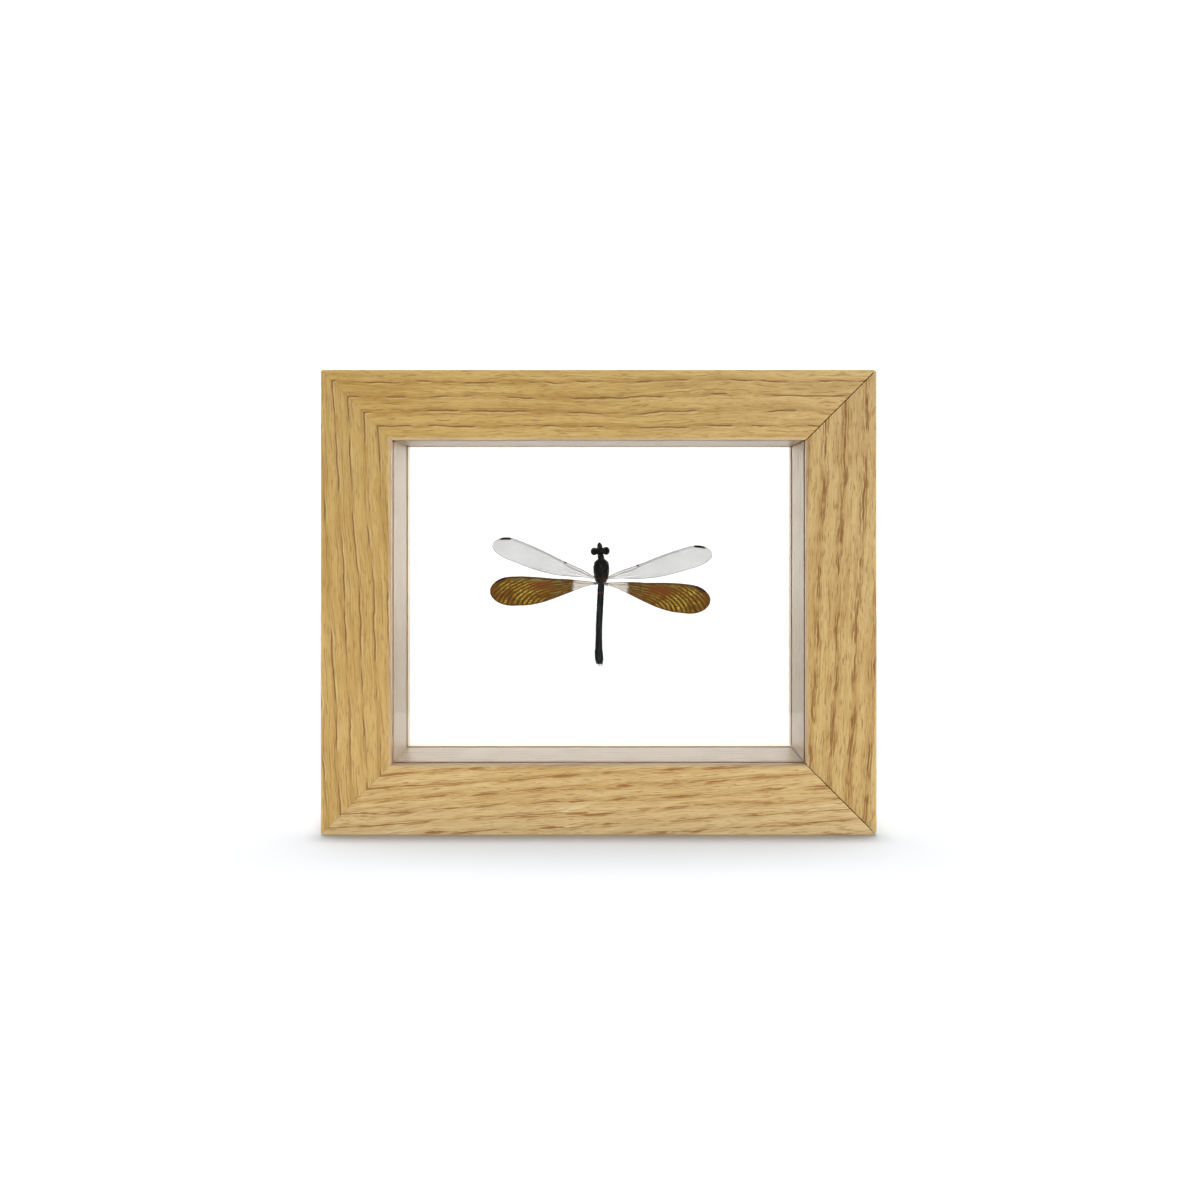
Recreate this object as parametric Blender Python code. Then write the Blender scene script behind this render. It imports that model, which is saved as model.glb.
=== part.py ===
# A see-through frame that stands on a shelf, with a spread damselfly between its two panes of glass.
# Four mitred rails hold the panes in grooves and are pinned at the back of each corner by a V nail.
# The damselfly is glued by its underside to the inner face of the back pane.
# Metres, +Z up. The origin is the middle of the frame's footprint, and the front faces -Y.

import math

import bmesh
import bpy
import numpy as np

MM = 0.001

# The frame
FRAME_WIDTH = 120.0 * MM
FRAME_HEIGHT = 100.5 * MM
FRAME_DEPTH = 30.0 * MM
RAIL_WIDTH = 15.2 * MM
RAIL_EDGE_RADIUS = 0.7 * MM
EDGE_STEPS = 3
PIECE_GAP = 0.3 * MM

# The panes and their grooves. A groove's place is its middle, measured back from the front.
GLASS_THICKNESS = 2.0 * MM
FRONT_GROOVE_PLACE = 3.2 * MM
BACK_GROOVE_PLACE = 24.5 * MM
GROOVE_WIDTH = GLASS_THICKNESS + 2 * PIECE_GAP
GROOVE_DEPTH = 4.0 * MM
GLASS_ARRIS = 0.25 * MM

# The V nails, pressed in from the back across each mitre
NAIL_ARM = 4.6 * MM
NAIL_THICKNESS = 0.7 * MM
NAIL_LENGTH = 8.0 * MM
NAIL_SINK = 0.2 * MM
NAIL_POINT_PLACE = 8.6 * MM
NAIL_HALF_ANGLE = math.radians(42)

# Where the damselfly's wing roots lie: right of the frame's middle, above its foot, and back from its middle
SPECIMEN_RIGHT = 0.5 * MM
SPECIMEN_UP = 54.3 * MM
SPECIMEN_BACK = 5.2 * MM

# The dot of glue under the thorax
GLUE_RADIUS = 0.95 * MM
GLUE_UP = 0.6 * MM

# Body stations in millimetres from the wing roots: (up, half width, half depth, to the right, back)
PROTHORAX = [
    (6.25, 0.42, 0.44, -0.17, 0.05),
    (5.75, 0.46, 0.48, -0.12, 0.05),
    (5.35, 0.80, 0.72, -0.08, 0.00),
    (4.95, 0.72, 0.78, -0.03, 0.00),
    (4.45, 0.60, 0.70, 0.02, 0.00),
]
THORAX = [
    (5.05, 0.36, 0.44, 0.02, -0.05),
    (4.75, 0.86, 0.95, 0.04, -0.05),
    (4.10, 1.36, 1.42, 0.08, -0.05),
    (3.20, 1.66, 1.72, 0.10, 0.00),
    (2.20, 1.75, 1.86, 0.10, 0.00),
    (1.10, 1.68, 1.84, 0.08, 0.05),
    (0.30, 1.50, 1.64, 0.05, 0.10),
    (-0.30, 1.30, 1.42, 0.00, 0.12),
    (-0.80, 0.98, 1.12, -0.02, 0.15),
    (-1.15, 0.58, 0.66, -0.02, 0.15),
]
SNOUT = [
    (6.60, 0.62, 0.66, -0.20, 0.25),
    (7.30, 0.58, 0.62, -0.26, 0.22),
    (7.90, 0.52, 0.52, -0.31, 0.18),
    (8.35, 0.38, 0.38, -0.35, 0.15),
    (8.62, 0.15, 0.16, -0.38, 0.14),
]
# The abdomen's segments from front to back: (length, radius at its middle)
ABDOMEN_START = -0.45
ABDOMEN_SEGMENTS = [
    (0.90, 0.66), (1.75, 0.75), (2.95, 0.68), (2.90, 0.66), (2.75, 0.65),
    (2.50, 0.64), (2.00, 0.66), (1.40, 0.80), (1.10, 0.87), (0.70, 0.72),
]
SEGMENT_WAIST = 0.92
# The abdomen's lean to the right at points down its length, all in millimetres
LEAN_AT = [-0.45, -4.8, -10.6, -16.4, -19.4]
LEAN = [0.0, -0.23, -0.46, -0.54, -0.36]
ABDOMEN_DROOP = 0.35

# (right, up, back), then half sizes in the same order, all in millimetres
HEAD_CORE = ((-0.18, 6.55, 0.10), (1.25, 0.74, 0.86))
HEAD_FACE = ((-0.22, 6.85, 0.55), (0.80, 0.72, 0.70))
EYES = {
    "left": ((-1.60, 6.52, 0.15), (0.80, 0.92, 0.92)),
    "right": ((1.25, 6.74, 0.15), (0.82, 0.98, 0.92)),
}
# Where a wing joins, and the dark plate that covers the hindwing's root
ROOT_PLATES = {
    "left": ((-1.06, -0.66, -0.92), (0.86, 0.26, 0.34)),
    "right": ((1.06, -0.76, -0.92), (0.84, 0.26, 0.34)),
}
CERCUS_LENGTH = 0.85
CERCUS_RADIUS = 0.09

# A wing's edges, in millimetres: (distance from its root, leading edge) and (distance, trailing edge)
FOREWING = {
    "length": 24.45,
    "lead": [(0.0, 0.30), (2.5, 0.86), (6.0, 1.27), (9.0, 1.64), (12.0, 2.12), (16.0, 2.58), (19.8, 2.86)],
    "trail": [(0.0, 0.22), (2.5, 0.58), (5.5, 1.38), (8.0, 1.92), (11.0, 2.30), (15.0, 2.38), (19.2, 2.14)],
}
HINDWING = {
    "length": 23.85,
    "lead": [(0.0, 0.28), (2.5, 0.78), (5.5, 1.34), (9.0, 1.77), (13.0, 2.45), (16.5, 2.90), (18.9, 3.04)],
    "trail": [(0.0, 0.26), (2.5, 0.68), (5.5, 1.56), (8.5, 2.47), (12.0, 3.38), (15.5, 3.80), (18.3, 3.68)],
}
# A wing's root (right, up) in millimetres, and how far its axis tilts up from level, in degrees
WINGS = {
    "fore_left": (FOREWING, (-1.60, 0.42), 18.3),
    "fore_right": (FOREWING, (1.62, 0.36), 13.3),
    "hind_left": (HINDWING, (-1.62, -0.80), -4.4),
    "hind_right": (HINDWING, (1.50, -0.92), -9.6),
}
WING_BACK = -1.05
WING_TIP_RISE = 0.7
WING_OVERLAP = 0.9
MEMBRANE = 0.16
COSTA_RIDGE = 0.16
COSTA_WIDTH = 0.40
WING_STATIONS = 25
WING_STRIPS = 6

# A leg's path on the right side, (right, up, back) in millimetres from its hip, and its radius there
LEGS = {
    "fore": [(0.30, 4.30, 1.00), (0.50, 5.60, 1.45), (0.52, 5.95, 1.80), (0.48, 5.70, 2.15), (0.30, 3.30, 2.50)],
    "mid": [(0.60, 3.50, 1.10), (1.20, 2.95, 1.65), (1.36, 3.00, 1.95), (1.20, 3.35, 2.20), (0.80, 5.10, 2.35)],
    "hind": [(0.64, 2.42, 1.12), (1.22, 1.95, 1.85), (1.42, 1.45, 2.05), (1.42, 0.80, 2.20), (1.08, -0.40, 2.30)],
}
LEG_RADII = (0.24, 0.18, 0.15, 0.13, 0.09)
BODY_SIDES = 16
ABDOMEN_SIDES = 12
LEG_SIDES = 6


def material(name, colour, roughness, metallic=0.0, clear=0.0):
    """A Principled material in one colour."""
    made = bpy.data.materials.new(name)
    made.use_nodes = True
    shader = made.node_tree.nodes["Principled BSDF"]
    shader.inputs["Base Color"].default_value = (*colour, 1.0)
    shader.inputs["Roughness"].default_value = roughness
    shader.inputs["Metallic"].default_value = metallic
    shader.inputs["Transmission Weight"].default_value = clear
    return made


def add_object(name, points, faces, finish=None, helper=False):
    """A mesh object with its faces pointing outwards. A helper is a shape that a Boolean uses."""
    mesh = bpy.data.meshes.new(name)
    mesh.from_pydata([tuple(p) for p in points], [], faces)
    tidy = bmesh.new()
    tidy.from_mesh(mesh)
    bmesh.ops.recalc_face_normals(tidy, faces=tidy.faces)
    tidy.to_mesh(mesh)
    tidy.free()
    made = bpy.data.objects.new(name, mesh)
    bpy.context.scene.collection.objects.link(made)
    if finish:
        mesh.materials.append(finish)
    if helper:
        made.hide_render = True
        made.display_type = "WIRE"
    return made


def loft(rings):
    """Points and faces of a closed skin through rings of equal length, each end closed by a fan."""
    count = len(rings[0])
    points = [p for ring in rings for p in ring]
    faces = []
    for row in range(len(rings) - 1):
        for i in range(count):
            j = (i + 1) % count
            start = row * count
            faces.append((start + i, start + j, start + count + j, start + count + i))
    for row in (0, len(rings) - 1):
        ring = rings[row]
        points.append(np.mean(ring, axis=0))
        middle = len(points) - 1
        faces += [(row * count + i, row * count + (i + 1) % count, middle) for i in range(count)]
    return points, faces


def prism(outline, low, high, axis):
    """Points and faces of a flat outline drawn out along an axis, from low to high."""
    count = len(outline)
    points = [np.insert(corner, axis, level) for level in (low, high) for corner in outline]
    sides = [(i, (i + 1) % count, count + (i + 1) % count, count + i) for i in range(count)]
    return points, [*sides, tuple(range(count)), tuple(range(count, 2 * count))]


def smooth_curve(pairs, where):
    """Values of the smooth curve through (place, value) pairs at the places in where."""
    place, value = np.array(pairs, float).T
    slope = np.gradient(value, place)
    at = np.clip(np.searchsorted(place, where) - 1, 0, len(place) - 2)
    span = place[at + 1] - place[at]
    t = (where - place[at]) / span
    return (
        value[at] * (1 + 2 * t) * (1 - t) ** 2
        + slope[at] * span * t * (1 - t) ** 2
        + value[at + 1] * t**2 * (3 - 2 * t)
        + slope[at + 1] * span * t**2 * (t - 1)
    )


# The frame


def corner_arc(centre, start_degrees):
    """Quarter circle of an edge, as (across, back) points."""
    turns = [math.radians(start_degrees + 90 * step / EDGE_STEPS) for step in range(EDGE_STEPS + 1)]
    return [
        (centre[0] + RAIL_EDGE_RADIUS * math.cos(turn), centre[1] + RAIL_EDGE_RADIUS * math.sin(turn))
        for turn in turns
    ]


def groove(place):
    """The four corners of one glass groove, from front to back."""
    near, far = place - GROOVE_WIDTH / 2, place + GROOVE_WIDTH / 2
    floor = RAIL_WIDTH - GROOVE_DEPTH
    return [(RAIL_WIDTH, near), (floor, near), (floor, far), (RAIL_WIDTH, far)]


def rail_section():
    """Outline of a rail as (across from the outer side, back from the front) points."""
    low, across, back = RAIL_EDGE_RADIUS, RAIL_WIDTH - RAIL_EDGE_RADIUS, FRAME_DEPTH - RAIL_EDGE_RADIUS
    return [
        *corner_arc((low, low), 180),
        *corner_arc((across, low), 270),
        *groove(FRONT_GROOVE_PLACE),
        *groove(BACK_GROOVE_PLACE),
        *corner_arc((across, back), 0),
        *corner_arc((low, back), 90),
    ]


def add_rail(name, length, place, turn, finish):
    """A rail along local X with its outer side down, mitred at both ends, then turned into place."""
    short = PIECE_GAP / 2 * math.sqrt(2)
    section = rail_section()
    ends = []
    for side in (-1, 1):
        ends.append(
            [(side * (length / 2 - across - short), back - FRAME_DEPTH / 2, across) for across, back in section]
        )
    count = len(section)
    sides = [(i, (i + 1) % count, count + (i + 1) % count, count + i) for i in range(count)]
    faces = [*sides, tuple(range(count)), tuple(range(count, 2 * count))]
    rail = add_object(name, ends[0] + ends[1], faces, finish)
    rail.location = place
    rail.rotation_euler = (0, turn, 0)
    return rail


def nail_outline(margin):
    """The V seen from the back: (right, up) from its point, opening away from the frame's middle."""
    arm, half = NAIL_ARM + margin, NAIL_THICKNESS / 2 + margin
    lean = NAIL_HALF_ANGLE
    along = np.array([math.cos(lean), math.sin(lean)])
    across = np.array([-math.sin(lean), math.cos(lean)])
    inner = np.array([half / math.sin(lean), 0.0])
    upper = [along * arm - across * half, along * arm + across * half]
    lower = [corner * (1, -1) for corner in reversed(upper)]
    return [inner, upper[0], upper[1], -inner, lower[0], lower[1]]


def nail_prism(corner, margin):
    """A V nail, or with a margin its pocket, at the corner with those signs (right, up)."""
    outward = np.array(corner) / math.sqrt(2)
    sideways = np.array([-outward[1], outward[0]])
    point = np.array([corner[0] * (FRAME_WIDTH / 2 - NAIL_POINT_PLACE), 0.0])
    point[1] = FRAME_HEIGHT / 2 + corner[1] * (FRAME_HEIGHT / 2 - NAIL_POINT_PLACE)
    outline = [point + a * outward + b * sideways for a, b in nail_outline(margin)]
    back = FRAME_DEPTH / 2
    deep, shallow = back - NAIL_SINK - NAIL_LENGTH - margin, back - NAIL_SINK + 4 * margin
    return prism(outline, deep, shallow, axis=1)


def build_frame():
    oak = material("oak", (0.56, 0.39, 0.19), 0.5)
    steel = material("nail_steel", (0.55, 0.55, 0.56), 0.35, metallic=1.0)
    middle = FRAME_HEIGHT / 2
    quarter = math.pi / 2
    rails = {
        "bottom": add_rail("rail_bottom", FRAME_WIDTH, (0, 0, 0), 0, oak),
        "top": add_rail("rail_top", FRAME_WIDTH, (0, 0, FRAME_HEIGHT), 2 * quarter, oak),
        "left": add_rail("rail_left", FRAME_HEIGHT, (-FRAME_WIDTH / 2, 0, middle), quarter, oak),
        "right": add_rail("rail_right", FRAME_HEIGHT, (FRAME_WIDTH / 2, 0, middle), -quarter, oak),
    }
    for level, up in (("top", 1), ("bottom", -1)):
        for side, right in (("left", -1), ("right", 1)):
            add_object(f"v_nail_{level}_{side}", *nail_prism((right, up), 0.0), steel)
            pocket = add_object(f"pocket_{level}_{side}", *nail_prism((right, up), PIECE_GAP), helper=True)
            for rail in (rails[level], rails[side]):
                cut = rail.modifiers.new("nail pocket", "BOOLEAN")
                cut.operation = "DIFFERENCE"
                cut.object = pocket


def build_glass():
    clear = material("clear_glass", (0.95, 0.98, 0.97), 0.02, clear=1.0)
    grip = GROOVE_DEPTH - PIECE_GAP
    half_width = FRAME_WIDTH / 2 - RAIL_WIDTH + grip
    half_height = FRAME_HEIGHT / 2 - RAIL_WIDTH + grip
    middle = FRAME_HEIGHT / 2
    outline = [
        (side * half_width, middle + level * half_height)
        for side, level in ((-1, -1), (1, -1), (1, 1), (-1, 1))
    ]
    for name, place in (("glass_front", FRONT_GROOVE_PLACE), ("glass_back", BACK_GROOVE_PLACE)):
        centre = place - FRAME_DEPTH / 2
        pane = add_object(
            name, *prism(outline, centre - GLASS_THICKNESS / 2, centre + GLASS_THICKNESS / 2, axis=1), clear
        )
        arris = pane.modifiers.new("ground edge", "BEVEL")
        arris.width = GLASS_ARRIS
        arris.segments = 1


# The damselfly, in millimetres from its wing roots as (right, up, back), and set in place at the end


def in_frame(points):
    """(right, up, back) millimetres on the damselfly as world metres."""
    right, up, back = np.asarray(points, float).T * MM
    return np.stack([right + SPECIMEN_RIGHT, back + SPECIMEN_BACK, up + SPECIMEN_UP], axis=1)


def add_organ(name, rings):
    points, faces = loft(rings)
    return add_object(name, in_frame(points), faces, helper=True)


def trunk(stations, sides, smooth=0):
    """Oval rings round a body axis, from (up, half width, half depth, right, back) stations."""
    rows = np.array(stations, float)
    if smooth:
        order = np.arange(len(rows), dtype=float)
        fine = np.linspace(0, len(rows) - 1, smooth)
        rows = np.stack([smooth_curve(list(zip(order, rows[:, k])), fine) for k in range(5)], axis=1)
    turn = np.arange(sides) * 2 * math.pi / sides
    rings = []
    for up, wide, deep, right, back in rows:
        ring = np.stack([right + wide * np.cos(turn), np.full(sides, up), back + deep * np.sin(turn)], axis=1)
        rings.append(ring)
    return rings


def ball(centre, halves, sides=14, rows=7):
    """Rings of an oval ball, from top to bottom."""
    levels = np.cos(np.linspace(0, math.pi, rows + 2)[1:-1])
    stations = []
    for level in levels:
        girth = math.sqrt(1 - level**2)
        stations.append(
            (centre[1] + halves[1] * level, halves[0] * girth, halves[2] * girth, centre[0], centre[2])
        )
    return trunk(stations, sides)


def abdomen_stations():
    """Two full rings and a waist for each segment, following the lean and the droop."""
    rows = []
    up = ABDOMEN_START
    total = sum(length for length, _ in ABDOMEN_SEGMENTS)
    for length, radius in ABDOMEN_SEGMENTS:
        for share, size in ((0.0, SEGMENT_WAIST), (0.14, 1.0), (0.86, 1.0)):
            here = up - share * length
            lean = np.interp(-here, [-v for v in LEAN_AT], LEAN)
            back = 0.15 + ABDOMEN_DROOP * (ABDOMEN_START - here) / total
            rows.append((here, radius * size, radius * size * 0.96, lean, back))
        up -= length
    last = rows[-1]
    rows.append((up, last[1] * 0.55, last[2] * 0.55, last[3], last[4]))
    return rows


def tube(joints, radii, sides):
    """Rings round a bent line of joints, each square to the line and turned as little as it can be."""
    joints = np.array(joints, float)
    turn = np.arange(sides) * 2 * math.pi / sides
    first = np.array((1.0, 0.0, 0.0))
    rings = []
    for i, (joint, radius) in enumerate(zip(joints, radii)):
        along = joints[min(i + 1, len(joints) - 1)] - joints[max(i - 1, 0)]
        along /= np.linalg.norm(along)
        first = first - along * first.dot(along)
        first /= np.linalg.norm(first)
        second = np.cross(along, first)
        rings.append(joint + radius * (np.outer(np.cos(turn), first) + np.outer(np.sin(turn), second)))
    return rings


def wing_edges(shape, along):
    """Leading and trailing offsets from the wing's axis: smooth curves, each closed by a quarter oval."""
    edges = []
    for side in ("lead", "trail"):
        last = shape[side][-1][0]
        body = smooth_curve(shape[side], np.minimum(along, last))
        into_tip = np.clip((along - last) / (shape["length"] - last), 0, 1)
        edges.append(body * np.sqrt(1 - into_tip**2))
    return edges


def wing_skin(shape, root, tilt_degrees, side):
    """Points and faces of one wing: a thin plate, thicker along its leading edge."""
    t = np.linspace(0, 1, WING_STATIONS)
    along = shape["length"] * (1 - (1 - t) ** 1.6) * 0.999
    lead, trail = wing_edges(shape, along)
    share = np.linspace(0, 1, WING_STRIPS + 1) ** 1.4
    across = lead[:, None] - (lead + trail)[:, None] * share[None, :]
    inner = np.repeat(along[:, None], WING_STRIPS + 1, axis=1)
    # The first station is drawn back into the body so that the wing joins it.
    inner[0] -= WING_OVERLAP
    tilt = math.radians(tilt_degrees)
    right = side * (inner * math.cos(tilt) - across * math.sin(tilt)) + root[0]
    up = inner * math.sin(tilt) + across * math.cos(tilt) + root[1]
    back = WING_BACK - WING_TIP_RISE * (inner / shape["length"]) ** 2
    from_lead = lead[:, None] - across
    half = (MEMBRANE + COSTA_RIDGE * np.exp(-((from_lead / COSTA_WIDTH) ** 2))) / 2
    front = np.stack([right, up, back - half], axis=2).reshape(-1, 3)
    rear = np.stack([right, up, back + half], axis=2).reshape(-1, 3)
    strips = WING_STRIPS + 1
    count = WING_STATIONS * strips
    faces = []
    for i in range(WING_STATIONS - 1):
        for j in range(WING_STRIPS):
            quad = (i * strips + j, i * strips + j + 1, (i + 1) * strips + j + 1, (i + 1) * strips + j)
            faces += [quad, tuple(count + k for k in reversed(quad))]
    rim = [i * strips for i in range(WING_STATIONS)]
    rim += [(WING_STATIONS - 1) * strips + j for j in range(1, strips)]
    rim += [i * strips + WING_STRIPS for i in range(WING_STATIONS - 2, -1, -1)]
    rim += list(range(WING_STRIPS - 1, 0, -1))
    for a, b in zip(rim, rim[1:] + rim[:1]):
        faces.append((a, b, count + b, count + a))
    return np.vstack([front, rear]), faces


def cercus(side):
    """One of the two hooked claspers at the tip of the abdomen."""
    up = ABDOMEN_START - sum(length for length, _ in ABDOMEN_SEGMENTS)
    right, back = LEAN[-1], 0.15 + ABDOMEN_DROOP
    joints = [
        (right + side * 0.25, up + 0.35, back),
        (right + side * 0.36, up - 0.10, back),
        (right + side * 0.38, up - CERCUS_LENGTH * 0.6, back),
        (right + side * 0.22, up - CERCUS_LENGTH, back),
    ]
    return tube(joints, [CERCUS_RADIUS * size for size in (1.4, 1.2, 1.0, 0.6)], LEG_SIDES)


def build_damselfly():
    """Every organ is a closed helper, and one Boolean fuses them to the thorax."""
    chitin = material("chitin", (0.012, 0.011, 0.011), 0.45)
    points, faces = loft(trunk(THORAX, BODY_SIDES, smooth=13))
    damselfly = add_object("damselfly", in_frame(points), faces, chitin)
    organs = [
        add_organ("prothorax", trunk(PROTHORAX, BODY_SIDES)),
        add_organ("head_core", ball(*HEAD_CORE)),
        add_organ("head_face", ball(*HEAD_FACE)),
        add_organ("snout", trunk(SNOUT, ABDOMEN_SIDES)),
        add_organ("abdomen", trunk(abdomen_stations(), ABDOMEN_SIDES)),
    ]
    for side, right in (("left", -1), ("right", 1)):
        organs.append(add_organ(f"eye_{side}", ball(*EYES[side])))
        organs.append(add_organ(f"root_plate_{side}", ball(*ROOT_PLATES[side], sides=8, rows=3)))
        organs.append(add_organ(f"cercus_{side}", cercus(right)))
        for pair, joints in LEGS.items():
            mirrored = [(right * joint[0], joint[1], joint[2]) for joint in joints]
            organs.append(add_organ(f"leg_{pair}_{side}", tube(mirrored, LEG_RADII, LEG_SIDES)))
        for pair in ("fore", "hind"):
            shape, root, tilt = WINGS[f"{pair}_{side}"]
            points, faces = wing_skin(shape, root, tilt, right)
            organs.append(add_object(f"wing_{pair}_{side}", in_frame(points), faces, helper=True))
    group = bpy.data.collections.new("organs")
    bpy.context.scene.collection.children.link(group)
    for organ in organs:
        group.objects.link(organ)
    fuse = damselfly.modifiers.new("fuse organs", "BOOLEAN")
    fuse.operation = "UNION"
    fuse.operand_type = "COLLECTION"
    fuse.collection = group
    damselfly.data.shade_smooth()


def build_glue():
    """A low dome on the back pane that reaches up to the underside of the thorax."""
    glue = material("clear_glue", (0.85, 0.84, 0.78), 0.2, clear=0.8)
    pane = BACK_GROOVE_PLACE - FRAME_DEPTH / 2 - GLASS_THICKNESS / 2 - PIECE_GAP
    underside = SPECIMEN_BACK + 1.90 * MM + PIECE_GAP
    rings = []
    sides = 20
    turn = np.arange(sides) * 2 * math.pi / sides
    for height, size in ((0.0, 1.0), (0.2, 0.98), (0.55, 0.84), (0.85, 0.62), (1.0, 0.45)):
        radius = GLUE_RADIUS * size
        depth = pane + (underside - pane) * height
        rings.append(
            np.stack(
                [
                    SPECIMEN_RIGHT + radius * np.cos(turn),
                    np.full(sides, depth),
                    SPECIMEN_UP + GLUE_UP + radius * np.sin(turn),
                ],
                axis=1,
            )
        )
    dot = add_object("glue_dot", *loft(rings), glue)
    dot.data.shade_smooth()


def main():
    for old in list(bpy.data.objects):
        bpy.data.objects.remove(old)
    build_frame()
    build_glass()
    build_damselfly()
    build_glue()


main()
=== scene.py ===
import math

import bpy
import numpy as np
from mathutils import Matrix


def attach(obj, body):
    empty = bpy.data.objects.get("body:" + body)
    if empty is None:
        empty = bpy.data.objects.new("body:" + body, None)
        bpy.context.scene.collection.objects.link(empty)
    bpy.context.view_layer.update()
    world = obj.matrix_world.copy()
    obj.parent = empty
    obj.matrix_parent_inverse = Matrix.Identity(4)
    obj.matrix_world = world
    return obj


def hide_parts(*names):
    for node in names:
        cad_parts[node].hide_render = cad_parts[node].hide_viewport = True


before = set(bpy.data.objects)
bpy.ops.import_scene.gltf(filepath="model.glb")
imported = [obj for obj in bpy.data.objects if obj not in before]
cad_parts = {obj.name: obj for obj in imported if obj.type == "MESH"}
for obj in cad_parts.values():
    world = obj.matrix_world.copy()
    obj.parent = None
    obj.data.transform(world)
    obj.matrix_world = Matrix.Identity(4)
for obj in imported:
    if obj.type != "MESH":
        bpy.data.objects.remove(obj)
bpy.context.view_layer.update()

mm = 0.001

# Helpers for meshes. Points are arrays whose last axis is x, y, z, in metres.


def meshPiece(name, points, *faceGroups):
    # A mesh object from points and arrays of faces, each group with its own number of corners
    corners = np.concatenate([group.ravel() for group in faceGroups]).astype(np.int32)
    sizes = np.concatenate([np.full(len(group), group.shape[1]) for group in faceGroups])
    mesh = bpy.data.meshes.new(name)
    mesh.vertices.add(len(points))
    mesh.vertices.foreach_set("co", np.asarray(points, np.float32).ravel())
    mesh.loops.add(len(corners))
    mesh.loops.foreach_set("vertex_index", corners)
    mesh.polygons.add(len(sizes))
    mesh.polygons.foreach_set("loop_start", (np.cumsum(sizes) - sizes).astype(np.int32))
    mesh.update(calc_edges=True)
    mesh.validate()
    piece = bpy.data.objects.new(name, mesh)
    bpy.context.scene.collection.objects.link(piece)
    return piece


def finishPiece(piece, material, nodes, sharpDegrees):
    # The material, smooth shading with creases, and the place in the model
    piece.data.materials.append(material)
    piece.data.shade_smooth()
    piece.data.set_sharp_from_angle(angle=math.radians(sharpDegrees))
    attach(piece, "root")
    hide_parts(*nodes)
    return piece


def storeOnPoints(piece, name, values):
    # A vector on each point, for the materials to read
    layer = piece.data.attributes.new(name, "FLOAT_VECTOR", "POINT")
    full = np.zeros((len(values), 3), np.float32)
    full[:, : values.shape[1]] = values
    layer.data.foreach_set("vector", full.ravel())


def smoothCurve(pairs, where):
    # The cubic through (place, value) pairs whose slope at each pair comes from its neighbours
    place, value = np.array(pairs, float).T
    slope = np.gradient(value, place)
    at = np.clip(np.searchsorted(place, where) - 1, 0, len(place) - 2)
    span = place[at + 1] - place[at]
    t = (where - place[at]) / span
    start = value[at] * (1 + 2 * t) * (1 - t) ** 2 + slope[at] * span * t * (1 - t) ** 2
    end = value[at + 1] * t**2 * (3 - 2 * t) + slope[at + 1] * span * t**2 * (t - 1)
    return start + end


def ease(low, high, value):
    # 0 below low, 1 above high, and the smooth step 3t^2 - 2t^3 between
    t = np.clip((value - low) / (high - low), 0, 1)
    return t * t * (3 - 2 * t)


def lumps(points, size, seed):
    # Value noise from -1 to 1: random heights on a cubic lattice of that size, joined by smooth steps
    lattice = np.random.default_rng(seed).uniform(-1, 1, (16, 16, 16))
    cell = np.floor(points / size).astype(int)
    part = ease(0, 1, points / size - cell)
    total = np.zeros(points.shape[:-1])
    for corner in np.ndindex(2, 2, 2):
        share = np.prod(np.where(corner, part, 1 - part), axis=-1)
        i, j, k = np.moveaxis((cell + corner) % 16, -1, 0)
        total += share * lattice[i, j, k]
    return total


def smoothLine(joints, steps):
    # A smooth curve through joints one count apart, column by column, with its places in that count
    order = np.arange(len(joints), dtype=float)
    fine = np.linspace(0, len(joints) - 1, steps)
    columns = [smoothCurve(np.stack([order, column], axis=1), fine) for column in joints.T]
    return fine, np.stack(columns, axis=1)


def turnsOf(sides):
    # The angles of a ring's corners
    return np.arange(sides) * 2 * math.pi / sides


def ringFaces(rows, sides):
    # Quads between rows of closed rings, and the two end fans, whose middle points come last
    row, side = np.meshgrid(np.arange(rows - 1), np.arange(sides), indexing="ij")
    nextSide = (side + 1) % sides
    quads = np.stack([side, nextSide, sides + nextSide, sides + side], axis=-1) + (row * sides)[..., None]
    around = np.arange(sides)
    beyond = (around + 1) % sides
    startFan = np.stack([beyond, around, np.full(sides, rows * sides)], axis=-1)
    last = (rows - 1) * sides
    endFan = np.stack([last + around, last + beyond, np.full(sides, rows * sides + 1)], axis=-1)
    return quads.reshape(-1, 4), np.concatenate([startFan, endFan])


def closedRings(rings):
    # Points and faces of a closed skin through rings of shape (rows, sides, 3)
    rows, sides = rings.shape[:2]
    middles = np.stack([rings[0].mean(axis=0), rings[-1].mean(axis=0)])
    quads, fans = ringFaces(rows, sides)
    return np.concatenate([rings.reshape(-1, 3), middles]), quads, fans


def joinShells(shells):
    # Several closed skins as one set of points and faces
    points, quads, fans = [], [], []
    count = 0
    for shellPoints, shellQuads, shellFans in shells:
        points.append(shellPoints)
        quads.append(shellQuads + count)
        fans.append(shellFans + count)
        count += len(shellPoints)
    return np.concatenate(points), np.concatenate(quads), np.concatenate(fans)


def turnOutwards(points, quads, fans):
    # Flips every face when the signed volume of the skin is below nothing
    def volume(a, b, c):
        return np.einsum("ij,ij->i", points[a], np.cross(points[b], points[c])).sum()

    total = volume(fans[:, 0], fans[:, 1], fans[:, 2])
    total += volume(quads[:, 0], quads[:, 1], quads[:, 2])
    total += volume(quads[:, 0], quads[:, 2], quads[:, 3])
    if total < 0:
        return points, quads[:, ::-1], fans[:, ::-1]
    return points, quads, fans


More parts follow.
